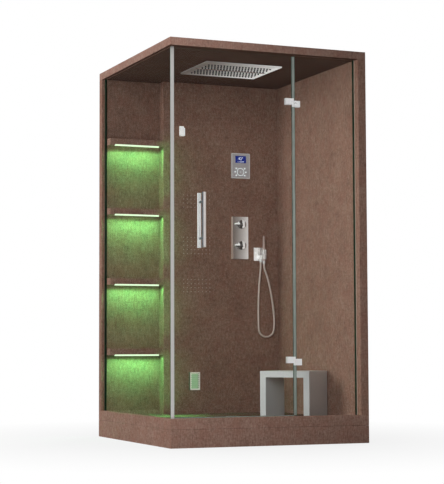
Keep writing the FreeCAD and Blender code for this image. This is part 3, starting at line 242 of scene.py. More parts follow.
def cladding_material(name, dark, middle, light, shaded_floor_below=None, shaded_under=False):
    """Matt brown stone laminate: soft clouds, short upright threads and fine specks.

    Faces that look up below a given height are painted darker, as painted shade on the tray
    floor. Faces that look down are painted darker too, as painted shade under the roof.
    """
    g = Graph(name)
    cloud = g.noise(7, 3, 0.6)
    patch = g.noise(42, 3, 0.6, stretch=(1, 1, 1.6))
    blotch = g.noise(105, 4, 0.6)
    thread = g.noise(150, 3, 0.65, stretch=(1, 1, 0.16))
    speck = g.noise(420, 2, 0.5)
    mottle = g.weighted((blotch, 0.30), (thread, 0.34), (cloud, 0.16), (patch, 0.20))
    base = g.ramp(g.spread(mottle, 0.38, 0.62), [(0.0, dark), (0.5, middle), (1.0, light)])
    warm = g.mix(g.spread(g.noise(19, 3), 0.42, 0.62, 0.0, 0.22), base, colour("#9c6656"))
    shade = g.mix(g.spread(speck, 0.56, 0.72, 0.0, 0.30), warm, colour("#b79c8e"))
    # Painted shade: faces that look up low in the tray are darkened.
    if shaded_floor_below:
        floor_in_shade = g.both(g.math("GREATER_THAN", g.faces("Z"), 0.5),
                      g.math("LESS_THAN", g.axis("Z"), shaded_floor_below))
        shade = g.shaded(floor_in_shade, shade, PAINTED_FLOOR_SHADE)
    # Painted shade: faces that look down are darkened.
    if shaded_under:
        shade = g.shaded(g.math("LESS_THAN", g.faces("Z"), -0.5), shade, PAINTED_UNDERSIDE_SHADE)
    rough = g.spread(blotch, 0.3, 0.7, 0.62, 0.78)
    relief = g.weighted((thread, 0.6), (speck, 0.4))
    return g.done(g.principled(Base_Color=shade, Roughness=rough, Specular_IOR_Level=0.0,
                               Normal=g.bump(relief, 0.0003, 0.35)))


def metal_material(name, shade, rough, grain_scale=0.0, stretch=(1, 1, 1), depth=0.00005,
                   painted_gradient=None, metallic=1.0, painted_left_light=None):
    """Bare metal whose gloss wanders a little, with a grain where it is brushed.

    A painted gradient lies over a wide brushed plate: a painted highlight that rises along an
    axis from one place to another, from a painted dark start to a painted glow at its end.
    Faces that look along -X may be painted lighter, as painted light from the left.
    """
    g = Graph(name)
    smudge = g.noise(24, 3, 0.6)
    roughness = g.spread(smudge, 0.35, 0.65, rough * 0.85, rough * 1.15)
    sockets = {"Metallic": metallic, "Roughness": roughness}
    if grain_scale:
        grain = g.noise(grain_scale, 2, 0.5, stretch=stretch)
        base = colour(shade)
        scratched = tuple(v * 0.8 for v in base[:3]) + (1,)
        sockets["Base_Color"] = g.mix(g.spread(grain, 0.35, 0.65, 0.0, 0.25), base, scratched)
        sockets["Normal"] = g.bump(grain, depth, 0.5)
    else:
        sockets["Base_Color"] = g.mix(g.spread(smudge, 0.4, 0.7, 0.0, 0.08), colour(shade),
                                      colour("#b4b4b4"))
    # Painted highlight: a colour ramp from a dark start, and an emitted glow at the bright end.
    if painted_gradient:
        axis, start, end, dark, painted_glow = painted_gradient
        rise = g.math("POWER", g.spread(g.axis(axis), start, end), 1.3)
        sockets["Base_Color"] = g.mix(rise, colour(dark), sockets["Base_Color"])
        sockets["Emission_Color"] = g.mix(rise, BLACK, grey(painted_glow))
        sockets["Emission_Strength"] = 1.0
    # Painted light: faces that look along -X get a lighter colour.
    if painted_left_light:
        on_left = g.math("LESS_THAN", g.faces("X"), -0.5)
        sockets["Base_Color"] = g.mix(on_left, sockets["Base_Color"], colour(painted_left_light))
    return g.done(g.principled(**sockets))


def reflection_bar_material(name, stops, metallic=0.45, painted_glow=0.0):
    """A drawn round bar with painted reflections: light and dark stripes along the bar, set by
    the way each face looks.

    A painted glow adds that share of the stripes as light, for polished pieces in a dark corner.
    """
    g = Graph(name)
    scratch = g.noise(900, 2, 0.5, stretch=(1, 1, 0.02))
    # Painted reflections: the colour follows the way each face looks.
    base = g.ramp(g.spread(g.faces("X"), -1.0, 1.0), stops)
    return g.done(g.principled(Base_Color=base, Metallic=metallic, Roughness=0.3,
                               Emission_Color=base, Emission_Strength=painted_glow,
                               Normal=g.bump(scratch, 0.00002, 0.3)))


def plastic_material(name, dark, light, rough, scale=160, depth=0.00008):
    """Moulded plastic or lacquer: a faint grain in colour, gloss and relief."""
    g = Graph(name)
    grain = g.noise(scale, 4, 0.55)
    base = g.ramp(g.spread(grain, 0.35, 0.65), [(0.0, dark), (1.0, light)])
    roughness = g.spread(grain, 0.3, 0.7, rough * 0.9, rough * 1.1)
    return g.done(g.principled(Base_Color=base, Roughness=roughness,
                               Normal=g.bump(grain, depth, 0.3)))


def glow_material(name, first, second, strength, rough=0.35, unlit="#3b4a38", grain=(240, 3)):
    """A lit diffuser or display: two close tones of light under a glossy skin.

    A grain of the given scale and detail mixes them.
    """
    g = Graph(name)
    lit = g.two_tone(g.noise(*grain), first, second)
    return g.done(g.principled(Base_Color=colour(unlit), Roughness=rough, Emission_Color=lit,
                               Emission_Strength=strength))


def glass_material(name, thin_axis, shine, edge_dark, edge_light):
    """Clear flat glass: see-through with a faint gloss, and green on its cut edges."""
    g = Graph(name)
    on_edge = g.math("LESS_THAN", g.math("ABSOLUTE", g.faces(thin_axis)), 0.5)
    clear = g.add("ShaderNodeBsdfTransparent", {"Color": (0.964, 0.971, 0.966, 1)}).outputs[0]
    smear = g.noise(9, 3, 0.6)
    gloss = g.add("ShaderNodeBsdfGlossy", {
        "Color": (0.9, 0.94, 0.92, 1), "Roughness": g.spread(smear, 0.4, 0.7, 0.01, 0.05),
    }).outputs[0]
    mirror = g.math("MULTIPLY", g.add("ShaderNodeFresnel", {"IOR": 1.45}).outputs[0], shine)
    inside = g.add("ShaderNodeNewGeometry").outputs["Backfacing"]
    mirror = g.math("MULTIPLY", mirror, g.math("SUBTRACT", 1.0, inside))
    cut = g.noise(300, 2, 0.5, stretch=(1, 1, 0.2))
    edge = g.principled(Base_Color=g.two_tone(cut, edge_dark, edge_light), Roughness=0.2)
    return g.done(g.blend(on_edge, g.blend(mirror, clear, gloss), edge))


def seal_material():
    """Soft clear profile: milky, and partly see-through."""
    g = Graph("soft_seal")
    grain = g.noise(200, 2, 0.5, stretch=(1, 1, 0.05))
    body = g.principled(Base_Color=g.two_tone(grain, "#9ba69f", "#b5bfb8"), Roughness=0.3)
    clear = g.add("ShaderNodeBsdfTransparent", {"Color": (0.8, 0.85, 0.82, 1)}).outputs[0]
    return g.done(g.blend(0.72, clear, body))


COVER_LOW, COVER_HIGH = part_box("steam_cover")
FIELD_INSET = 0.0095


def cover_material():
    """Off-white moulded cover, whose louvred field is painted pale green with a glow, as painted
    green light.

    The rim's front faces glow a little too, as painted light, and the faces at its sides are
    painted dark, as painted shade.
    """
    g = Graph("steam_cover")
    grain = g.noise(400, 3)
    field = g.both(g.between(g.axis("X"), COVER_LOW.x + FIELD_INSET, COVER_HIGH.x - FIELD_INSET),
                   g.between(g.axis("Z"), COVER_LOW.z + FIELD_INSET, COVER_HIGH.z - FIELD_INSET))
    # Side faces are painted dark, as painted shade.
    lit_face = g.math("LESS_THAN", g.math("ABSOLUTE", g.faces("X")), 0.5)
    base = g.mix(lit_face, colour("#6b6459"), g.two_tone(grain, "#f3efe8", "#fbf8f2"))
    # The louvred field is painted pale green, as painted green light.
    base = g.mix(field, base, g.two_tone(grain, "#a2bb9c", "#b6cbae"))
    # Painted glow on the front faces: pale green on the field, warm on the rim.
    glow = g.mix(field, (0.16, 0.15, 0.13, 1), (0.085, 0.13, 0.085, 1))
    return g.done(g.principled(Base_Color=base, Roughness=0.4,
                               Emission_Color=g.mix(lit_face, BLACK, glow),
                               Emission_Strength=1.0, Normal=g.bump(grain, 0.00005, 0.3)))


# Where the knobs' painted highlight band starts and stops, and their lever ends, from the
# right edge of the disc.
KNOB_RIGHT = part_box("flow_knob")[1].x
BAND_LEFT = KNOB_RIGHT - 0.030
BAND_RIGHT = KNOB_RIGHT - 0.009
LEVER_RIGHT = KNOB_RIGHT - 0.0475


def knob_material():
    """Chrome with painted reflections: painted highlights on the lever and in an upright band,
    painted shade under them, a painted glow on them, and the rest of the disc painted darker.
    """
    g = Graph("knob_chrome")
    across, forward = g.axis("X"), g.faces("Y")
    # Painted highlight: an upright band on the disc's front, and the whole lever.
    band = g.both(g.between(across, BAND_LEFT, BAND_RIGHT), g.math("LESS_THAN", forward, -0.5))
    painted_highlight = g.math("MAXIMUM", band, g.math("LESS_THAN", across, LEVER_RIGHT))
    # Painted light and shade by facing: dark underneath, white on top.
    bright = g.ramp(g.spread(g.faces("Z"), -1.0, 1.0), [
        (0.0, "#3d3836"), (0.36, "#6f6966"), (0.47, "#fbfafa"), (1.0, "#ffffff")])
    # Painted reflection on the rest of the disc: darker left of the band, lighter right of it.
    past_band = g.both(g.math("GREATER_THAN", across, BAND_RIGHT),
                       g.math("LESS_THAN", forward, -0.7))
    disc = g.mix(past_band, colour("#67615f"), colour("#a29c99"))
    # The painted highlights also glow a little.
    return g.done(g.principled(Base_Color=g.mix(painted_highlight, disc, bright), Metallic=0.25,
                               Roughness=g.spread(g.noise(60, 3), 0.35, 0.65, 0.2, 0.3),
                               Emission_Color=g.mix(painted_highlight, BLACK, bright),
                               Emission_Strength=0.32))


CRADLE_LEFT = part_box("shower_outlet")[0].x + 0.030


def outlet_material():
    """Bright chrome with a painted glow, and a painted reflection of the stick as upright
    stripes on the cradle's half.
    """
    g = Graph("outlet_chrome")
    smudge = g.noise(60, 3)
    # Painted reflection of the stick: upright dark and light stripes.
    reflection_grain = g.spread(g.noise(230, 1, 0.5, stretch=(1, 1, 0.02)), 0.44, 0.56)
    painted_reflection = g.mix(reflection_grain, colour("#6e6966"), colour("#efecea"))
    base = g.mix(g.math("GREATER_THAN", g.axis("X"), CRADLE_LEFT),
                 g.two_tone(smudge, "#f6f5f4", "#ffffff"), painted_reflection)
    # The whole surface glows a little, as painted light.
    return g.done(g.principled(Base_Color=base, Metallic=0.25,
                               Roughness=g.spread(smudge, 0.35, 0.65, 0.2, 0.3),
                               Emission_Color=base, Emission_Strength=0.3))


LIP_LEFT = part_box("wall_channels")[1].x - 0.0045


def channel_material():
    """The channels that hold the glass: a dark green gasket and a pale lip against the wall."""
    g = Graph("wall_channel")
    grain = g.noise(700, 2, 0.5, stretch=(1, 1, 0.02))
    base = g.mix(g.math("GREATER_THAN", g.axis("X"), LIP_LEFT),
                 g.two_tone(grain, "#1b3325", "#24402f"), g.two_tone(grain, "#cdb9a8", "#ddcbbb"))
    return g.done(g.principled(Base_Color=base, Roughness=0.4,
                               Normal=g.bump(grain, 0.00005, 0.3)))


TRAY_FLOOR_BELOW = 0.150
UPRIGHT_BRUSH = (1, 1, 0.03)
LEVEL_BRUSH = (0.03, 1, 1)

CLADDING = cladding_material("cladding", "#78594e", "#937465", "#ac8d7e")
# A darker copy of the cladding for the back wall inside, as painted shade.
SHADED_CLADDING_INNER = cladding_material("cladding_inner_shaded", "#6f5348", "#8b6c5e", "#a38476")
# The tray floor gets painted shade.
CLADDING_BASE = cladding_material("cladding_base", "#7d5e53", "#9a7a6c", "#b49587",
                                  shaded_floor_below=TRAY_FLOOR_BELOW)
# The roof's underside gets painted shade.
CLADDING_ROOF = cladding_material("cladding_roof", "#7c5f55", "#997a6d", "#b29489",
                                  shaded_under=True)
STEEL_FRAME = plastic_material("black_powder_coat", "#1d1d20", "#2c2c30", 0.55, 700, 0.0002)
ZINC = metal_material("zinc_plate", "#b9bcb9", 0.35, 260, (1, 1, 1), 0.00008)
POLYMER = plastic_material("grey_polymer", "#4c4d50", "#5a5b5e", 0.5)
POLISHED = metal_material("polished_chrome", "#f2f2f2", 0.12)
FITTING = metal_material("satin_chrome", "#fbfafa", 0.24, metallic=0.35)
STICK = metal_material("handset_chrome", "#c0aaa2", 0.34, metallic=0.4)
HOSE_METAL = metal_material("hose_metal", "#e0d1c8", 0.45, metallic=0.3)
HINGE = metal_material("hinge_steel", "#f4f3f3", 0.32, 800, UPRIGHT_BRUSH, metallic=0.5)
# The stops of the handle bars and the robe hook are painted reflections; the hook also glows.
OUTER_BAR = reflection_bar_material("outer_bar_steel", [
    (0.0, "#4d5055"), (0.10, "#5f6267"), (0.18, "#a5a3a2"), (0.42, "#cbc7c5"), (0.75, "#e8dfdc"),
    (1.0, "#f1e8e5")])
INNER_BAR = reflection_bar_material("inner_bar_steel", [
    (0.0, "#efeeee"), (0.13, "#f3f3f3"), (0.165, "#7d8083"), (0.2, "#dadada"), (0.27, "#dadada"),
    (0.325, "#6a6e72"), (0.38, "#f3f3f3"), (1.0, "#f6f6f6")])
CHROME = reflection_bar_material("shaped_chrome", [
    (0.0, "#a19b98"), (0.16, "#6f6a67"), (0.32, "#c8c3c0"), (0.45, "#ffffff"), (0.6, "#ffffff"),
    (0.82, "#a8a3a0"), (1.0, "#d8d4d2")], metallic=0.25, painted_glow=0.30)
BRUSHED = metal_material("brushed_steel", "#e0e0de", 0.34, 900, UPRIGHT_BRUSH)
# Both plates carry a painted highlight that glows; the mixer plate's left face is painted lit.
MIXER_STEEL = metal_material("brushed_mixer_plate", "#f6f4f3", 0.36, 900, UPRIGHT_BRUSH,
                             painted_gradient=("X", 0.236, 0.334, "#a39893", 0.24), metallic=0.3,
                             painted_left_light="#fbe9e2")
RAIN_STEEL = metal_material("brushed_rain_plate", "#f4f3f2", 0.36, 900, LEVEL_BRUSH,
                            painted_gradient=("X", -0.24, 0.23, "#b7afac", 0.40), metallic=0.3)
ALUMINIUM = metal_material("satin_aluminium", "#cdcac8", 0.42, 700, (1, 1, 0.02))
COPPER = metal_material("copper", "#b87a52", 0.3)
SEAL = seal_material()
RUBBER = plastic_material("rubber", "#1e1f22", "#292a2e", 0.6, 500, 0.0001)
STOOL = plastic_material("solid_surface", "#d6d7d7", "#e2e3e3", 0.38, 420, 0.00006)
BEZEL = plastic_material("satin_bezel", "#c9c7cc", "#d2d0d5", 0.32, 600, 0.00004)
BEZEL_EDGE = plastic_material("bezel_border", "#f0eff2", "#f8f7fa", 0.3, 600, 0.00004)
JET = plastic_material("jet_polymer", "#bea89c", "#cebab0", 0.35, 500, 0.00005)
KEY_WHITE = glow_material("key_light", "#f4f8fa", "#e6eff4", 0.9)
LED = glow_material("light_strip", "#f0ffe4", "#ddffca", 1.15)
STEAM_LIGHT = glow_material("steam_light", "#9fd694", "#8cc983", 0.9)
DISPLAY_TEXT = glow_material("display_figures", "#eef2ff", "#dfe7ff", 1.0)
DISPLAY = glow_material("display", "#16266f", "#1f3386", 0.8, rough=0.12, unlit="#0c1236",
                        grain=(700, 2))
SIDE_PANE = glass_material("side_pane", "X", 0.04, "#1b4a33", "#276244")
FRONT_PANE = glass_material("front_pane", "Y", 0.2, "#2a4a41", "#5d7a70")
COVER = cover_material()
KNOB = knob_material()
OUTLET = outlet_material()
CHANNEL = channel_material()

FINISHES = {
    "cladding": CLADDING, "steel_frame": STEEL_FRAME, "zinc": ZINC, "polymer_grey": POLYMER,
    "polished": POLISHED, "brushed": BRUSHED, "aluminium": ALUMINIUM, "clear_glass": FRONT_PANE,
    "seal": SEAL, "bezel": BEZEL, "display": DISPLAY, "light": LED, "steam_light": STEAM_LIGHT,
    "copper": COPPER, "rubber": RUBBER, "solid_surface": STOOL, "jet": JET,
}
OWN_FINISH = {
    "shower_tray": CLADDING_BASE, "front_apron": CLADDING_BASE, "side_apron": CLADDING_BASE,
    "back_wall": SHADED_CLADDING_INNER, "roof_panel": CLADDING_ROOF,
    "side_glass": SIDE_PANE, "wall_channels": CHANNEL,
    "door_hinge_leaves": HINGE, "fixed_hinge_leaves": HINGE, "hinge_pins": HINGE,
    "outer_handle": OUTER_BAR, "inner_handle": INNER_BAR, "robe_hook": CHROME,
    "mixer_plate": MIXER_STEEL, "flow_knob": KNOB, "temperature_knob": KNOB,
    "shower_outlet": OUTLET, "outlet_nut": FITTING, "handset_nut": FITTING, "handset": STICK,
    "steam_cover": COVER, "rain_plate": RAIN_STEEL, "power_key": BEZEL,
}
for index in range(1, 7):
    OWN_FINISH["key_%d" % index] = KEY_WHITE

for part in frame["record"]["subparts"]:
    node = NODES[part["node"]]
    node.data.materials.clear()
    node.data.materials.append(OWN_FINISH.get(part["node"], FINISHES[part["material_slot"]]))


# ---- pieces ----

TOWARDS_FRONT = (0, -1, 0)
DOWNWARDS = (0, 0, -1)


def add_piece(name, mesh, finish, body="cabin"):
    """A new piece of the object that rides on a body."""
    thing = add_object(name, mesh)
    mesh.materials.append(finish)
    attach(thing, body)
    return thing


def mesh_from(name, build, smooth=False):
    """A mesh that a function fills through bmesh."""
    work = bmesh.new()
    build(work)
    bmesh.ops.recalc_face_normals(work, faces=work.faces)
    mesh = bpy.data.meshes.new(name)
    work.to_mesh(mesh)
    work.free()
    for face in mesh.polygons:
        face.use_smooth = smooth
    return mesh


def mesh_of(curve):
    """The mesh that a curve or text makes."""
    holder = add_object(curve.name, curve)
    bpy.context.view_layer.update()
    made = holder.evaluated_get(bpy.context.evaluated_depsgraph_get())
    mesh = bpy.data.meshes.new_from_object(made)
    bpy.data.objects.remove(holder)
    return mesh


def add_circle(work, middle, side, other, radius, sides):
    """A ring of points about a middle, in the plane of two unit directions."""
    turns = [2 * math.pi * k / sides for k in range(sides)]
    return [work.verts.new(middle + side * (radius * math.cos(turn))
                           + other * (radius * math.sin(turn))) for turn in turns]


def join_rings(work, first, second):
    """A band of faces between two rings with as many points."""
    for k in range(len(first)):
        after = (k + 1) % len(first)
        work.faces.new((first[k], first[after], second[after], second[k]))


def add_turned(work, centre, aim, profile, sides):
    """A turned form: rings of (radius, distance along aim), closed where the radius is 0."""
    aim = Vector(aim).normalized()
    side = aim.orthogonal().normalized()
    other = aim.cross(side)
    rings = []
    for radius, along in profile:
        middle = Vector(centre) + aim * along
        if radius > 0:
            rings.append(add_circle(work, middle, side, other, radius, sides))
        else:
            rings.append([work.verts.new(middle)])
    for first, second in zip(rings, rings[1:]):
        if len(first) == len(second):
            join_rings(work, first, second)
            continue
        for k in range(sides):
            after = (k + 1) % sides
            if len(first) == 1:
                work.faces.new((first[0], second[k], second[after]))
            else:
                work.faces.new((first[k], first[after], second[0]))


def add_ring(work, centre, inner, outer, face, proud, sides=40):
    """A flat ring with a rounded face on a surface that looks along -Y."""
    middle = (inner + outer) / 2
    add_turned(work, (centre[0], face, centre[1]), TOWARDS_FRONT, [
        (outer, 0.0), (outer, proud * 0.6), (outer - (outer - middle) * 0.4, proud),
        (inner + (middle - inner) * 0.4, proud), (inner, proud * 0.6), (inner, 0.0),
        (outer, 0.0)], sides)


def add_frame(work, low, high, width, face, proud):
    """A flat frame with bevelled lips on a face that looks along -Y."""
    corners = [(low[0], low[1]), (high[0], low[1]), (high[0], high[1]), (low[0], high[1])]
    loops = []
    for inset, depth in ((0, 0), (0, proud * 0.6), (proud * 0.5, proud),
                         (width - proud * 0.5, proud), (width, proud * 0.6), (width, 0)):
        loop = []
        for x, z in corners:
            inward_x = 1 if x == low[0] else -1
            inward_z = 1 if z == low[1] else -1
            place = (x + inward_x * inset, face - depth, z + inward_z * inset)
            loop.append(work.verts.new(place))
        loops.append(loop)
    for first, second in zip(loops, loops[1:] + loops[:1]):
        join_rings(work, first, second)


def add_slab(work, low, high, bevel=0.0):
    """A box between two corners, its edges rounded by a bevel."""
    low, high = Vector(low), Vector(high)
    made = bmesh.ops.create_cube(work, size=1.0, matrix=Matrix.Translation((low + high) / 2)
                                 @ Matrix.Diagonal((*(high - low), 1)))
    if bevel:
        edges = {edge for vertex in made["verts"] for edge in vertex.link_edges}
        bmesh.ops.bevel(work, geom=list(edges), offset=bevel, segments=2, affect="EDGES",
                        profile=0.5)


# ---- hose ----

HOSE_ROUTE = [
    (0.418, 0.445, 1.070), (0.418, 0.445, 1.034), (0.413, 0.449, 0.976), (0.409, 0.453, 0.915),
    (0.407, 0.455, 0.858), (0.406, 0.457, 0.801), (0.406, 0.458, 0.744), (0.407, 0.459, 0.690),
    (0.409, 0.460, 0.641), (0.423, 0.460, 0.617), (0.447, 0.460, 0.603), (0.475, 0.459, 0.603),
    (0.499, 0.458, 0.617), (0.512, 0.457, 0.642), (0.514, 0.455, 0.690), (0.511, 0.453, 0.743),
    (0.504, 0.451, 0.797), (0.494, 0.448, 0.851), (0.482, 0.445, 0.905), (0.468, 0.441, 0.958),
    (0.450, 0.436, 1.004), (0.434, 0.430, 1.034), (0.434, 0.430, 1.060),
]
HOSE_RADIUS = 0.0065
HOSE_SIDES = 14
HOSE_PITCH = 0.0042
HOSE_CREASE = 0.0005
# How deep each ring of one fold lies, as a share of the crease.
FOLD = (1.0, 0.35, 0.0, 0.35)


def spline_line(points):
    """Points along the smooth NURBS spline that a route controls."""
    curve = bpy.data.curves.new("route", "CURVE")
    curve.dimensions = "3D"
    curve.resolution_u = 12
    spline = curve.splines.new("NURBS")
    spline.points.add(len(points) - 1)
    for control, place in zip(spline.points, points):
        control.co = (*place, 1)
    spline.order_u = 3
    spline.use_endpoint_u = True
    mesh = mesh_of(curve)
    line = [vertex.co.copy() for vertex in mesh.vertices]
    bpy.data.meshes.remove(mesh)
    return line


def evenly(line, step):
    """The line again with points one step apart."""
    spaced = [line[0]]
    left = step
    for start, end in zip(line, line[1:]):
        run = (end - start).length
        while run >= left and run > 0:
            start = start.lerp(end, left / run)
            spaced.append(start)
            run = (end - start).length
            left = step
        left -= run
    spaced.append(line[-1])
    return spaced


def add_folded_tube(work, path):
    """A tube of short folds along a path, closed at both ends."""
    rings = []
    side = Vector((1, 0, 0))
    for index, middle in enumerate(path):
        ahead = path[min(index + 1, len(path) - 1)] - path[max(index - 1, 0)]
        ahead.normalize()
        side = (side - ahead * side.dot(ahead)).normalized()
        radius = HOSE_RADIUS - HOSE_CREASE * FOLD[index % len(FOLD)]
        rings.append(add_circle(work, middle, side, ahead.cross(side), radius, HOSE_SIDES))
    for first, second in zip(rings, rings[1:]):
        join_rings(work, first, second)
    work.faces.new(rings[0][::-1])
    work.faces.new(rings[-1])


def make_hose():
    """The metal shower hose, which hangs between its fixed nut and the handset's nut."""
    path = evenly(spline_line(HOSE_ROUTE), HOSE_PITCH / len(FOLD))
    mesh = mesh_from("shower_hose", lambda work: add_folded_tube(work, path), True)
    mesh.materials.append(HOSE_METAL)
    hose = add_object("shower_hose", mesh)
    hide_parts("hose")
    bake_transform(hose)


make_hose()


# ---- rain head ----

RAIN_LOW, RAIN_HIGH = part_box("rain_plate")
RAIN_X = (RAIN_LOW.x + RAIN_HIGH.x) / 2
RAIN_Y = (RAIN_LOW.y + RAIN_HIGH.y) / 2
RAIN_RIM = 0.018
RAIN_RECESS = 0.002
RAIN_FACE = RAIN_LOW.z + RAIN_RECESS
NOZZLE_COLUMNS = 21
NOZZLE_ROWS = 3
NOZZLE_PITCH_X = 0.0196
NOZZLE_PITCH_Y = 0.049
FIRST_ROW = 0.034
NOZZLE_PROFILE = (
    (0.0062, 0.0), (0.0057, 0.0012), (0.0050, 0.0018), (0.0042, 0.0068), (0.0026, 0.0078),
    (0.0, 0.0078))
BAR_HALF_WIDTH = 0.011
BAR_DROP = 0.0022
BAR_BEVEL = 0.0006


def rain_nozzles(work):
    """Soft nozzles in two fields, one each side of the middle bar."""
    for column in range(NOZZLE_COLUMNS):
        for row in range(NOZZLE_ROWS):
            for side in (-1, 1):
                x = RAIN_X + (column - (NOZZLE_COLUMNS - 1) / 2) * NOZZLE_PITCH_X
                y = RAIN_Y + side * (FIRST_ROW + row * NOZZLE_PITCH_Y)
                add_turned(work, (x, y, RAIN_FACE), DOWNWARDS, NOZZLE_PROFILE, 12)


def rain_bar(work):
    """The polished bar along the middle of the plate, from rim to rim."""
    add_slab(work, (RAIN_LOW.x + RAIN_RIM, RAIN_Y - BAR_HALF_WIDTH, RAIN_FACE - BAR_DROP),
             (RAIN_HIGH.x - RAIN_RIM, RAIN_Y + BAR_HALF_WIDTH, RAIN_FACE), BAR_BEVEL)


nozzles = add_piece("rain_nozzles", mesh_from("rain_nozzles", rain_nozzles, True), RUBBER)
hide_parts("rain_tips")
add_piece("rain_middle_bar", mesh_from("rain_middle_bar", rain_bar), POLISHED)


# ---- body jets ----

JETS_LOW, JETS_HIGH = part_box("body_jets")
JET_PITCH = 0.025
JET_COLUMNS = 8
JET_FIELDS = ((0.0, 4), (0.236, 5), (0.524, 4))
JET_RADIUS = 0.003
JET_PROFILE = (
    (JET_RADIUS, 0.0), (0.0027, 0.0009), (0.0021, 0.0013), (0.0013, 0.0011), (0.0010, 0.0004),
    (0.0, 0.0004))


def jet_rings(work):
    """A low collar with a sunk mouth on every jet of the three fields.

    A field is (its lowest row above the lowest jet of all, its number of rows). The solids'
    jets have six sides with a corner at each end of X, so their box is less high than wide.
    """
    left, low = JETS_LOW.x + JET_RADIUS, JETS_LOW.z + JET_RADIUS * math.sin(math.pi / 3)
    for rise, rows in JET_FIELDS:
        for column in range(JET_COLUMNS):
            for row in range(rows):
                place = (left + column * JET_PITCH, JETS_HIGH.y, low + rise + row * JET_PITCH)
                add_turned(work, place, TOWARDS_FRONT, JET_PROFILE, 10)


jets = add_piece("jet_nozzles", mesh_from("jet_nozzles", jet_rings, True), JET)
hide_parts("body_jets")


# ---- control panel ----

PANEL_LOW, PANEL_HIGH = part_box("control_panel")
WINDOW_LOW, WINDOW_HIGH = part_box("display_window")
KEY_LOW, KEY_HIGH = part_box("power_key")
PANEL_FACE = PANEL_LOW.y
KEYPAD = ((KEY_LOW.x + KEY_HIGH.x) / 2, (KEY_LOW.z + KEY_HIGH.z) / 2)
WINDOW_X = (WINDOW_LOW.x + WINDOW_HIGH.x) / 2
WINDOW_Z = (WINDOW_LOW.z + WINDOW_HIGH.z) / 2
BORDER_INSET = 0.001
BORDER_WIDTH = 0.005
TRIM_PROUD = 0.0006
# Inner and outer radius of the ring.
POWER_RING = (0.0212, 0.0246)
DOT_PROFILE = ((0.0032, 0.0), (0.003, 0.0004), (0.0, 0.0006))
FIGURE_HEIGHT = 0.024
FIGURE_RISE = 0.004
FIGURE_DEPTH = 0.00012
FIGURE_GAP = 0.00014
LEVEL_COUNT = 7
LEVEL_PITCH = 0.0062
LEVEL_HALF_WIDTH = 0.0018
LEVEL_DEPTH = 0.0003
LEVEL_FOOT = 0.0055
LEVEL_LOWEST = 0.0075
LEVEL_STEP = 0.0006


def panel_border(work):
    """A pale raised border round the bezel."""
    add_frame(work, (PANEL_LOW.x + BORDER_INSET, PANEL_LOW.z + BORDER_INSET),
              (PANEL_HIGH.x - BORDER_INSET, PANEL_HIGH.z - BORDER_INSET), BORDER_WIDTH,
              PANEL_FACE, TRIM_PROUD)


def power_ring(work):
    """A lit ring round the power key."""
    add_ring(work, KEYPAD, *POWER_RING, PANEL_FACE, TRIM_PROUD)


def power_dot(work):
    """A lit dot in the middle of the power key."""
    add_turned(work, (KEYPAD[0], KEY_LOW.y, KEYPAD[1]), TOWARDS_FRONT, DOT_PROFILE, 20)


def figures(name, text, height, centre, face):
    """Figures that stand a hair off a face that looks along -Y."""
    curve = bpy.data.curves.new(name, "FONT")
    curve.body = text
    curve.size = height
    curve.align_x = "CENTER"
    curve.align_y = "CENTER"
    curve.extrude = FIGURE_DEPTH
    curve.resolution_u = 4
    mesh = mesh_of(curve)
    mesh.transform(Matrix.Translation((centre[0], face - FIGURE_GAP, centre[1]))
                   @ Matrix.Rotation(math.pi / 2, 4, "X"))
    mesh.materials.clear()
    return mesh


def level_bars(work):
    """A row of rising bars under the figures."""
    for k in range(LEVEL_COUNT):
        x = WINDOW_X + (k - (LEVEL_COUNT - 1) / 2) * LEVEL_PITCH
        top = WINDOW_LOW.z + LEVEL_LOWEST + k * LEVEL_STEP
        add_slab(work, (x - LEVEL_HALF_WIDTH, WINDOW_LOW.y - LEVEL_DEPTH,
                        WINDOW_LOW.z + LEVEL_FOOT), (x + LEVEL_HALF_WIDTH, WINDOW_LOW.y, top))


add_piece("panel_border", mesh_from("panel_border", panel_border), BEZEL_EDGE)
add_piece("power_ring", mesh_from("power_ring", power_ring, True), KEY_WHITE)
add_piece("power_dot", mesh_from("power_dot", power_dot, True), KEY_WHITE, "power_key")
add_piece("display_figures",
          figures("display_figures", "42°", FIGURE_HEIGHT, (WINDOW_X, WINDOW_Z + FIGURE_RISE),
                  WINDOW_LOW.y), DISPLAY_TEXT)
add_piece("display_bars", mesh_from("display_bars", level_bars), DISPLAY_TEXT)


# ---- knob collars, cover screws, drain ribs ----

MIXER_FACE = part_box("mixer_plate")[0].y
# Inner and outer radius of each collar.
COLLAR = (0.0196, 0.0225)
COLLAR_PROUD = 0.0012
SCREW_INSET = 0.0032
SCREW_PROFILE = (
    (0.0019, 0.0), (0.0016, 0.0005), (0.0008, 0.0006), (0.0006, 0.0003), (0.0, 0.0003))
DRAIN_LOW, DRAIN_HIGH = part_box("drain_cover")
DRAIN_RIBS = 24
RIB_ENDS = (0.018, 0.042)
RIB_HALF_WIDTH = 0.0012
RIB_FLARE = 1.6
RIB_HEIGHT = 0.0008


def knob_collars(work):
    """A thin turned ring on the mixer's cover round each knob's skirt."""
    for node in ("flow_knob", "temperature_knob"):
        low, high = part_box(node)
        add_ring(work, ((low.x + high.x) / 2, (low.z + high.z) / 2), *COLLAR, MIXER_FACE,
                 COLLAR_PROUD, 48)


def cover_screws(work):
    """A countersunk screw in each corner of the steam cover's rim."""
    for x in (COVER_LOW.x + SCREW_INSET, COVER_HIGH.x - SCREW_INSET):
        for z in (COVER_LOW.z + SCREW_INSET, COVER_HIGH.z - SCREW_INSET):
            add_turned(work, (x, COVER_LOW.y, z), TOWARDS_FRONT, SCREW_PROFILE, 12)


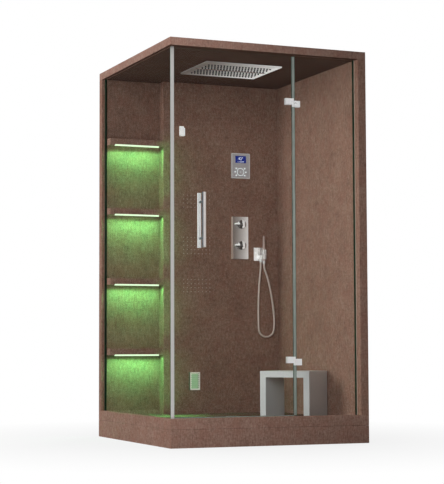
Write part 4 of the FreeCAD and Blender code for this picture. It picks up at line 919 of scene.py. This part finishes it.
def drain_ribs(work):
    """Low ribs that fan out over the lift-out cover."""
    centre = Vector(((DRAIN_LOW.x + DRAIN_HIGH.x) / 2, (DRAIN_LOW.y + DRAIN_HIGH.y) / 2,
                     DRAIN_HIGH.z))
    for k in range(DRAIN_RIBS):
        turn = 2 * math.pi * k / DRAIN_RIBS
        aim = Vector((math.cos(turn), math.sin(turn), 0))
        side = Vector((-aim.y, aim.x, 0)) * RIB_HALF_WIDTH
        near, far = [centre + aim * radius for radius in RIB_ENDS]
        foot = [near - side, far - side * RIB_FLARE, far + side * RIB_FLARE, near + side]
        lower = [work.verts.new(corner) for corner in foot]
        upper = [work.verts.new(corner + Vector((0, 0, RIB_HEIGHT))) for corner in foot]
        work.faces.new(lower[::-1])
        work.faces.new(upper)
        join_rings(work, lower, upper)


add_piece("knob_collars", mesh_from("knob_collars", knob_collars, True), POLISHED)
add_piece("cover_screws", mesh_from("cover_screws", cover_screws, True), BRUSHED)
add_piece("drain_ribs", mesh_from("drain_ribs", drain_ribs), BRUSHED, "drain_cover")


# ---- floor, background and lights ----

AMBIENT = 0.05
MIRRORED = 0.80
FLOOR_HALF = 14
FLOOR_DROP = 0.0005
FLOOR_DARK = grey(0.28)
FLOOR_LIGHT = grey(0.31)
SHADOW_NEAR = 0.8
SHADOW_FAR = 2.4
NEAR_WHITE = 0.85
FULL_SPREAD = 180
GREEN = (0.18, 1.0, 0.30)
SHELVES = 4


def make_floor():
    """A grey floor to the lamps, and white to the camera and to metal and glass.

    Near the cabin a share of the grey floor shows through, and with it the shadow.
    """
    work = bmesh.new()
    bmesh.ops.create_grid(work, x_segments=1, y_segments=1, size=FLOOR_HALF)
    mesh = bpy.data.meshes.new("floor")
    work.to_mesh(mesh)
    work.free()
    floor = add_object("floor", mesh)
    floor.location.z = -FLOOR_DROP
    g = Graph("floor")
    ground = g.mix(g.spread(g.noise(3, 3), 0.3, 0.7), FLOOR_DARK, FLOOR_LIGHT)
    lit = g.add("ShaderNodeBsdfDiffuse", {"Color": ground}).outputs[0]
    white = g.add("ShaderNodeEmission", {"Color": WHITE, "Strength": 1.0}).outputs[0]
    rays = g.add("ShaderNodeLightPath").outputs
    seen = g.math("MULTIPLY", rays["Is Glossy Ray"], MIRRORED)
    seen = g.math("MAXIMUM", seen, rays["Is Camera Ray"])
    seen = g.math("MAXIMUM", seen, rays["Is Transmission Ray"])
    away = g.add("ShaderNodeVectorMath", {0: g.coords}, operation="LENGTH").outputs["Value"]
    share = g.spread(away, SHADOW_NEAR, SHADOW_FAR, NEAR_WHITE, 1.0)
    mesh.materials.append(g.done(g.blend(g.math("MULTIPLY", seen, share), lit, white)))


def make_world():
    """Soft grey light, white to the camera and a paler grey where metal and glass mirror it."""
    world = bpy.data.worlds.new("world")
    SCENE.world = world
    world.use_nodes = True
    nodes, links = world.node_tree.nodes, world.node_tree.links
    nodes.clear()
    out = nodes.new("ShaderNodeOutputWorld")
    rays = nodes.new("ShaderNodeLightPath").outputs
    shader = None
    for shade, ray in ((AMBIENT, None), (MIRRORED, "Is Glossy Ray"), (1.0, "Is Transmission Ray"),
                       (1.0, "Is Camera Ray")):
        layer = nodes.new("ShaderNodeBackground")
        layer.inputs["Color"].default_value = WHITE
        layer.inputs["Strength"].default_value = shade
        if shader is None:
            shader = layer.outputs[0]
            continue
        mix = nodes.new("ShaderNodeMixShader")
        links.new(rays[ray], mix.inputs[0])
        links.new(shader, mix.inputs[1])
        links.new(layer.outputs[0], mix.inputs[2])
        shader = mix.outputs[0]
    links.new(shader, out.inputs["Surface"])


def add_area(name, at, aim, width, height, power, shade=(1, 1, 1), spread=FULL_SPREAD):
    """A rectangular lamp that neither the camera nor metal shows, its spread in degrees."""
    data = bpy.data.lights.new(name, "AREA")
    data.shape = "RECTANGLE"
    data.size = width
    data.size_y = height
    data.energy = power
    data.color = shade
    data.spread = math.radians(spread)
    lamp = add_object(name, data)
    lamp.visible_camera = False
    lamp.visible_glossy = False
    lamp.location = at
    lamp.rotation_euler = (Vector(aim) - Vector(at)).to_track_quat("-Z", "Y").to_euler()


# White lamps outside the cabin: name, place, what it aims at, side and power.
STUDIO = (
    ("front_near", (-1.2, -2.2, 1.2), (-0.3, -0.6, 0.7), 0.8, 23),
    ("front_top", (-0.95, -1.75, 2.35), (-0.5, -0.5, 1.0), 0.5, 9),
    ("left_high", (-3.5, 0.5, 2.6), (0.3, -0.1, 0.8), 1.3, 48),
    ("left_back", (-3.4, 1.1, 1.4), (0.4, -0.2, 0.6), 1.0, 34),
    ("back_light", (4.2, 4.6, 2.6), (0, 0, 1.0), 3.0, 420),
    ("roof_light", (0.4, 0.6, 5.2), (0, 0, 2.2), 2.4, 130),
)
# Green lamps of one shelf: name, place, aim, width, height, power and spread. The first shines
# down the bay from the light strip, the next up at the shelf, the last at the housing's side.
# Places count from the middle of the strip's front, at the height of its shelf's underside.
SHELF_LAMPS = (
    ("niche_light", (0, 0.0115, -0.008), (0, 0.09, -0.36), 0.33, 0.008, 1.2, 135),
    ("under_light", (0, 0.02, -0.05), (0, 0.05, 0), 0.28, 0.01, 0.10, 170),
    ("spill_light", (0.08675, -0.07, -0.14), (0.20675, 0, -0.14), 0.04, 0.34, 0.08, 55),
)
# The strips' glow on the tray: place, aim, width, height, power, colour and spread.
TRAY_LAMP = ((-0.30, 0.26, 0.40), (-0.30, 0.22, 0.13), 0.35, 0.15, 0.8, GREEN, 62)


def light_niche():
    """The green lamps of each shelf."""
    low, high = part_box("shelf_lights")
    for index in range(1, SHELVES + 1):
        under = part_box("shelf_%d" % index)[0].z
        origin = Vector(((low.x + high.x) / 2, low.y, under))
        for name, at, aim, width, height, power, spread in SHELF_LAMPS:
            add_area("%s_%d" % (name, index), origin + Vector(at), origin + Vector(aim), width,
                     height, power, GREEN, spread)


make_floor()
make_world()
for name, at, aim, width, power in STUDIO:
    add_area(name, at, aim, width, width, power)
light_niche()
add_area("tray_glow", *TRAY_LAMP)
